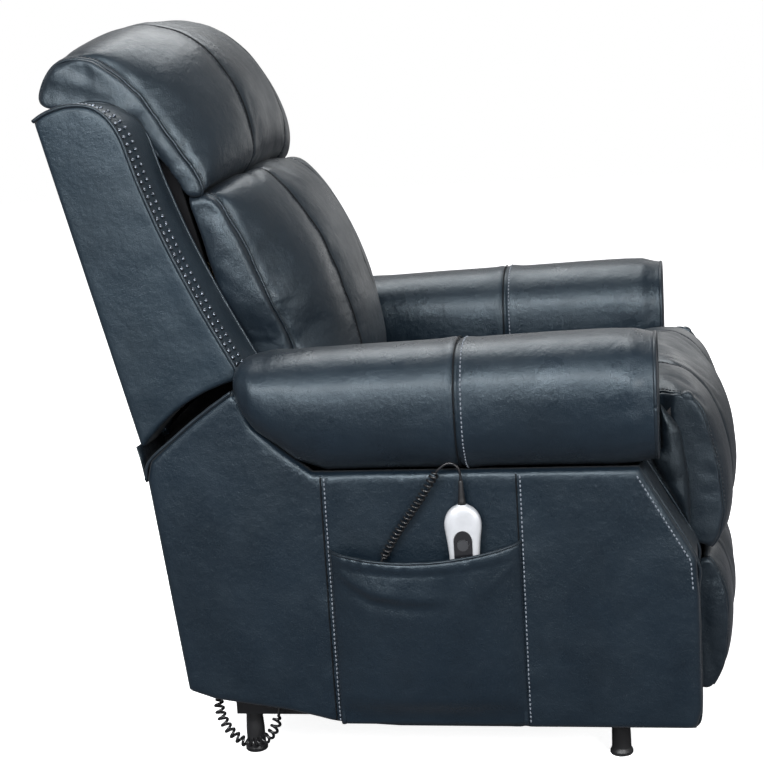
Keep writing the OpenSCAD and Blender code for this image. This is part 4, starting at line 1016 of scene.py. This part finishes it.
def back_sheet(name, low, high, x_half, t, body, replaces, mat, seed):
    """A slab between two side-view points, its face to the rear."""
    low, high = mm(low), mm(high)
    along = high - low
    up = unit(along)
    rear = np.array([up[1], -up[0]])
    size = float(np.linalg.norm(along))
    outline = np.array([[-x_half, 0], [x_half, 0], [x_half, size], [-x_half, size]])

    def height(p, d):
        h = rounded(d, 0.007) + 0.002 * (1 - np.exp(-d / 0.05)) - 0.0005
        return h + 0.0014 * waves(p, 0.16, seed) * np.clip(d / 0.03, 0, 1)

    def place(p, h, s):
        yz = low + p[:, 1:] * up + (h * s - t * (1 - s))[:, None] * rear
        return np.column_stack([p[:, 0], yz])

    v, f = panel(outline, 0.013, height, place)
    add(name, v, f, mat, body, replaces, "leather")


def back_flap():
    """The flap that hangs from the back over the top of the lower rear panel."""
    n = 40
    rings = []
    for x in np.linspace(-0.3745, 0.3745, n):
        w = 0.0008 * math.sin(23 * x) + 0.0006 * math.sin(61 * x + 1)
        side = mm([[361, 500], [356, 478], [352.5, 456], [351, 447]])
        outer = smooth(side, 5, closed=False) + [w, 0]
        inner = outer + [-0.0022, 0.0004]
        rings.append(in_x(x, np.vstack([outer, inner[::-1]])))
    v, f = loft(rings)
    # painted shade: the flap takes the darkened copy of the navy leather
    add("back_flap", v, f, shaded_leather_mat, "back", slot="dark_leather")


def gap_cloth():
    """Black cloth from under the seat cushion to the foot of the back cushion, across the gap that opens there."""
    rings = []
    for x in np.linspace(-0.2475, 0.2475, 60):
        sag = 1.5 * math.sin(34 * x) + 1.2 * math.sin(83 * x + 2)
        line = smooth(mm([[98, 449], [118, 449.5], [150, 455 + sag], [190, 478 + sag], [222, 509]]), 6, closed=False)
        rings.append(in_x(x, np.vstack([line, (line + [0.0008, -0.0014])[::-1]])))
    v, f = loft(rings)
    add("seat_gap_cloth", v, f, cloth_mat, "chassis", slot="dark_leather")


def make_back():
    back_flap()
    gap_cloth()
    for name, side in SIDES:
        wing(name, side)
    back_sheet("back_outer_panel_skin", [357.8, 490.5], [474, 971], 0.2765, 0.0158, "back", ("back_outer_panel",), leather_mat, 95)
    back_sheet("rear_panel_skin", [308, 140], [343, 456], 0.2645, 0.0158, "chassis", ("rear_panel",), leather_mat, 96)


make_back()


# ---------- seams on the cushions ----------

def by_name(name):
    return bpy.data.objects[name]


def sew(name, body, profile, half, seams, a, b, thread, edge=True):
    """Topstitching beside the channels, and piping with topstitching along both edges."""
    obj = by_name(name)
    tree = surface(obj)
    widen = next(job["widen"] for job in soft_jobs if job["obj"] == obj)
    lines = []
    for x in seams:
        for side in (1, -1):
            lines.append(seam_line(tree, profile[0], side * (x + 3.6), a, b, widen=widen))
            # painted shade: a dark cord in the channel seam's groove
            at, n = seam_line(tree, profile[0], side * x, a, b, 130, widen=widen)
            v, f = tube(at - n * 0.0001, 0.0012, 6)
            add(f"{name}_{'left' if side > 0 else 'right'}_seam_{x:.0f}", v, f, seam_shade_mat, body, slot="leather")
    for side in (1, -1):
        if edge:
            at, n = seam_line(tree, profile[1], side * half, a, b, 130, widen=widen)
            v, f = tube(at + n * 0.0008, 0.0024, 8)
            add(f"{name}_{'left' if side > 0 else 'right'}_piping", v, f, pipe_mat, body, slot="leather")
            lines.append(seam_line(tree, profile[1], side * (half - 6.5), a, b, 130, widen=widen))
    stitches(f"{name}_topstitch", body, lines, thread, slot="leather")


sew("back_cushion_skin", "back", (BACK_MID, BACK_SIDE), 256, (106,), 0, 8, dark_thread_mat)
sew("head_pillow_skin", "back", (PILLOW_MID, PILLOW_SIDE), 267.6, (107,), 0, 8, dark_thread_mat)
sew("foot_pad_skin", "legrest", (FOOT_MID, FOOT_SIDE), 243, (124,), 0, 5, dark_thread_mat)
sew("seat_cushion_skin", "chassis", (SEAT_MID, SEAT_SIDE), 247, (124,), 0, 4, dark_thread_mat, edge=False)
sew("chaise_pad_skin", "chassis", (PAD_MID, PAD_SIDE), 243, (124,), 1, 11, dark_thread_mat)


# ---------- pocket and handset ----------

def make_pocket():
    nu, nv = 90, 46
    u = np.linspace(0, 1, nu + 1)
    top = 360 + (349 - 360) * u - 16 * np.sin(np.pi * u) ** 0.8
    rings = []
    for i, k in enumerate(u):
        y = -192 + (80 + 192) * k
        v = np.linspace(0, 1, nv + 1)
        arch = max(math.sin(math.pi * k), 0) ** 0.55
        off = 1 + 31 * arch * (0.12 + 0.88 * v**0.45) * np.minimum(1, v * 6)
        z = 86 + (top[i] - 86) * v
        p = np.column_stack([np.full(nv + 1, y), z])
        below = top[i] - z
        # a ruffled hem that leans out, then one fold that leaves the rear corner and dies out toward the front
        hem = np.clip((13.5 - below) / 2, 0, 1)
        groove = np.exp(-((below - 15.5) / 1.8) ** 2)
        low = np.interp(k, [0.42, 0.6, 0.79, 0.9, 1], [54, 51, 46, 32, 18])
        fade = np.interp(k, [0.34, 0.5, 0.76, 0.93, 1], [0, 0.5, 1, 0.7, 0])
        fold = fade * np.where(below < low, np.clip((below - 16) / max(low - 16, 1), 0, 1), np.exp(-((below - low) / 8) ** 2))
        dip = fade * np.exp(-((below - low - 17) / 9) ** 2)
        crease = np.exp(-((below - 18 - 190 * k) / 5) ** 2) * np.clip((0.2 - k) / 0.06, 0, 1)
        folds = waves(np.column_stack([p[:, 0] + 0.5 * (z - 300), 0.3 * z]), 40, 7)
        folds = folds * np.clip((below - 20) / 30, 0, 1) * np.exp(-np.maximum(below - 60, 0) / 80)
        gather = waves(p * [1, 0.25], 6.5, 9) * hem
        outer = (-395 - off - 2.5 - (0.6 + 0.24 * below) * hem * arch - 1.1 * gather * arch + 1.6 * groove * arch
                 - (7.5 * fold - 3 * dip + 2.2 * crease + 0.9 * folds) * arch)
        ramp_up = np.clip(v * 8, 0, 1)
        outer = np.minimum(-395.6, np.where(ramp_up < 1, -395.6 + (outer + 395.6) * ramp_up, outer))
        inner = np.minimum(outer + 2.4, -395.05)
        rings.append(np.vstack([np.column_stack([outer, y * np.ones(nv + 1), z]),
                                np.column_stack([inner, y * np.ones(nv + 1), z])[::-1]]) / 1000)
    v, f = loft(rings)
    add("pocket_skin", v, f, leather_mat, "chassis", ("pocket",), "leather")
    line = np.array([r[nv] for r in rings])
    vv, ff = tube(even(settle(line, 2), 120), 0.0021, 8)
    add("pocket_edge_roll", vv, ff, pipe_mat, "chassis", slot="leather")
    for y, tag in ((-189, "front"), (75, "rear")):
        ring = []
        for z in np.linspace(86, 345, 30):
            ring.append([[-395.1, y - 2, z], [-397.6, y - 1.6, z], [-398.4, y + 1, z], [-397.6, y + 3.6, z], [-395.1, y + 4, z]])
        v, f = loft(mm(ring))
        add(f"pocket_{tag}_seam", v, f, leather_mat, "chassis", slot="leather")


def make_handset():
    hx, hy, w, half = -407, -114, 26, 10
    a = np.arange(72) * 2 * math.pi / 72
    q = (np.abs(np.cos(a)) ** 3 + np.abs(np.sin(a)) ** 3) ** (-1 / 3)
    stations = np.array([[272, 0.6, 0.5], [275, 0.85, 0.66], [284, 1, 0.74], [335, 1, 0.8], [365, 1, 0.9], [385, 1, 1],
                         [396, 0.97, 0.97], [405, 0.88, 0.83], [412, 0.72, 0.6], [416, 0.5, 0.34], [417, 0.45, 0.28]])
    fine = smooth(stations, 5, closed=False)
    v, f = loft([np.column_stack([hx + half * s[1] * q * np.cos(a), hy + w * s[2] * q * np.sin(a), np.full(72, s[0])]) / 1000
                 for s in fine])
    add("handset_shell_smooth", v, f, silver_mat, "chassis", ("handset_shell",), "silver_plastic")
    arc = np.radians(np.linspace(35, 145, 20))
    mark = np.array([[-418.78, hy + 4.6 * math.cos(t), 361 - 1.5 + 4.6 * math.sin(t)] for t in arc]) / 1000
    v, f = tube(mark, 0.00036, 6)
    add("key_up_mark", v, f, print_mat, "key_up", slot="silver_plastic")
    profile = mm([[5.6, 417], [5.6, 421], [5.2, 424], [4.5, 427], [4.7, 428.5], [4.2, 430.5], [4.4, 432], [3.9, 434],
                  [4.1, 435.5], [3.6, 437.5], [3.8, 439], [3.4, 441], [3.4, 449], [2.8, 452]])
    b = np.arange(32) * 2 * math.pi / 32
    v, f = loft([np.column_stack([hx / 1000 + r * np.cos(b), hy / 1000 + r * np.sin(b), np.full(32, z)]) for r, z in profile])
    add("handset_boot_ribbed", v, f, black_mat, "chassis", ("handset_boot",), "black_plastic")


make_pocket()
make_handset()


# ---------- CAD nodes that stay ----------

KEPT = {
    steel_mat: ("rail_left", "rail_right", "base_front_tube", "base_rear_tube", "lift_arm_left", "lift_arm_right",
                "lift_torque_tube", "front_link_left", "front_link_right", "side_plate_left", "side_plate_right",
                "motor_tube", "seat_front_rail", "seat_rear_rail", "legrest_tube", "recline_links",
                "push_links"),
    zinc_mat: ("front_link_pins", "chassis_pins", "seat_springs", "lift_rod", "back_rod", "back_crank_tube"),
    black_mat: ("feet", "lift_motor", "back_motor", "cord_glands"),
    timber_mat: ("back_rails",),
    cloth_mat: ("back_posts", "leg_board"),
    gloss_mat: ("handset_keypad",),
    key_mat: ("key_up", "key_down"),
}
for mat, names in KEPT.items():
    for name in names:
        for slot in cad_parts[name].material_slots:
            slot.material = mat


# ---------- attach every piece to its body, and hide the CAD parts it replaces ---

for piece in pieces:
    obj = piece["obj"]
    if obj.name.startswith("chaise_pad"):
        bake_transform(obj)
    elif obj.name == "seat_gap_cloth":
        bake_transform(obj)
    else:
        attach(obj, piece["body"])
    if piece["replaces"]:
        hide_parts(*piece["replaces"])
    if piece["cord"]:
        c = piece["cord"]
        tuple(c["exit"])
        [tuple(p) for p in c["path"]]


# ---------- studio ----------

def make_floor():
    me = bpy.data.meshes.new("studio_floor")
    n, size = 12, 9.0
    verts = [((i / n - 0.5) * 2 * size, (j / n - 0.5) * 2 * size, -0.0005) for i in range(n + 1) for j in range(n + 1)]
    faces = [(i * (n + 1) + j, (i + 1) * (n + 1) + j, (i + 1) * (n + 1) + j + 1, i * (n + 1) + j + 1)
             for i in range(n) for j in range(n)]
    me.from_pydata(verts, [], faces)
    mat = bpy.data.materials.new("studio_floor")
    mat.use_nodes = True
    nt = mat.node_tree
    bsdf = nt.nodes["Principled BSDF"]
    bsdf.inputs["Base Color"].default_value = (0.17, 0.17, 0.18, 1)
    bsdf.inputs["Roughness"].default_value = 0.8
    bsdf.inputs["Specular IOR Level"].default_value = 0.2
    pale = nt.nodes.new("ShaderNodeBsdfDiffuse")
    pale.inputs["Color"].default_value = (0.9, 0.9, 0.9, 1)
    white = node(nt, "ShaderNodeEmission", Strength=0.9)
    white.inputs["Color"].default_value = (1, 1, 1, 1)
    seen = nt.nodes.new("ShaderNodeAddShader")
    nt.links.new(pale.outputs[0], seen.inputs[0])
    nt.links.new(white.outputs[0], seen.inputs[1])
    path = nt.nodes.new("ShaderNodeLightPath")
    mix = nt.nodes.new("ShaderNodeMixShader")
    nt.links.new(path.outputs["Is Camera Ray"], mix.inputs[0])
    nt.links.new(bsdf.outputs[0], mix.inputs[1])
    nt.links.new(seen.outputs[0], mix.inputs[2])
    nt.links.new(mix.outputs[0], nt.nodes["Material Output"].inputs["Surface"])
    me.materials.append(mat)
    floor = bpy.data.objects.new("studio_floor", me)
    bpy.context.scene.collection.objects.link(floor)


def make_world():
    world = bpy.data.worlds.new("studio")
    bpy.context.scene.world = world
    world.use_nodes = True
    nt = world.node_tree
    nt.nodes.clear()
    up = nt.nodes.new("ShaderNodeSeparateXYZ")
    nt.links.new(nt.nodes.new("ShaderNodeTexCoord").outputs["Generated"], up.inputs[0])
    light = node(nt, "ShaderNodeBackground", Strength=1.0)
    nt.links.new(ramp(nt, up.outputs["Z"], [(0.0, (0.08, 0.08, 0.09)), (0.3, (0.24, 0.25, 0.27)), (1.0, (0.42, 0.43, 0.45))]),
                 light.inputs["Color"])
    # polished things show the white backdrop, and the dimmer ceiling above it
    backdrop = node(nt, "ShaderNodeBackground", Strength=1.0)
    nt.links.new(ramp(nt, up.outputs["Z"], [(0.1, (0.38, 0.38, 0.38)), (0.34, (0.42, 0.42, 0.42)), (0.7, (0.35, 0.35, 0.35))]),
                 backdrop.inputs["Color"])
    white = node(nt, "ShaderNodeBackground", Strength=1.0)
    white.inputs["Color"].default_value = (1, 1, 1, 1)
    path = nt.nodes.new("ShaderNodeLightPath")
    shiny = node(nt, "ShaderNodeMath", operation="MAXIMUM")
    nt.links.new(path.outputs["Is Glossy Ray"], shiny.inputs[0])
    nt.links.new(path.outputs["Is Transmission Ray"], shiny.inputs[1])
    mirrored = nt.nodes.new("ShaderNodeMixShader")
    nt.links.new(shiny.outputs[0], mirrored.inputs[0])
    nt.links.new(light.outputs[0], mirrored.inputs[1])
    nt.links.new(backdrop.outputs[0], mirrored.inputs[2])
    mix = nt.nodes.new("ShaderNodeMixShader")
    out = nt.nodes.new("ShaderNodeOutputWorld")
    nt.links.new(path.outputs["Is Camera Ray"], mix.inputs[0])
    nt.links.new(mirrored.outputs[0], mix.inputs[1])
    nt.links.new(white.outputs[0], mix.inputs[2])
    nt.links.new(mix.outputs[0], out.inputs["Surface"])


def lamp(name, place, aim, size, power, colour=(1, 1, 1)):
    data = bpy.data.lights.new(name, "AREA")
    data.shape, data.size, data.size_y = "RECTANGLE", size[0], size[1]
    data.energy, data.color = power, colour
    obj = bpy.data.objects.new(name, data)
    obj.location = place
    obj.rotation_euler = (Vector(aim) - Vector(place)).to_track_quat("-Z", "Y").to_euler()
    obj.visible_camera = False
    bpy.context.scene.collection.objects.link(obj)


make_floor()
make_world()
lamp("top_softbox", (1.2, 0.2, 2.7), (1.2, 0.2, 0), (2.2, 1.6), 62, (1, 0.99, 0.98))
lamp("strip_softbox", (-2.6, 0.35, 1.86), (-0.4, 0.0, 0.6), (2.2, 0.17), 88, (0.96, 0.98, 1))
lamp("side_softbox", (-2.95, 1.15, 1.0), (-0.36, 0.3, 0.75), (1.1, 1.1), 8, (0.95, 0.97, 1))
lamp("front_softbox", (-1.6, -3.0, 1.6), (0, -0.2, 0.6), (1.3, 1.2), 17)
lamp("front_kick", (-2.9, -1.67, 1.5), (-0.43, -0.37, 0.58), (0.3, 0.5), 46)
lamp("far_softbox", (2.6, -1.1, 1.2), (0, 0.1, 0.75), (1.3, 1.2), 3.6)

bpy.context.scene.view_settings.view_transform = "Standard"
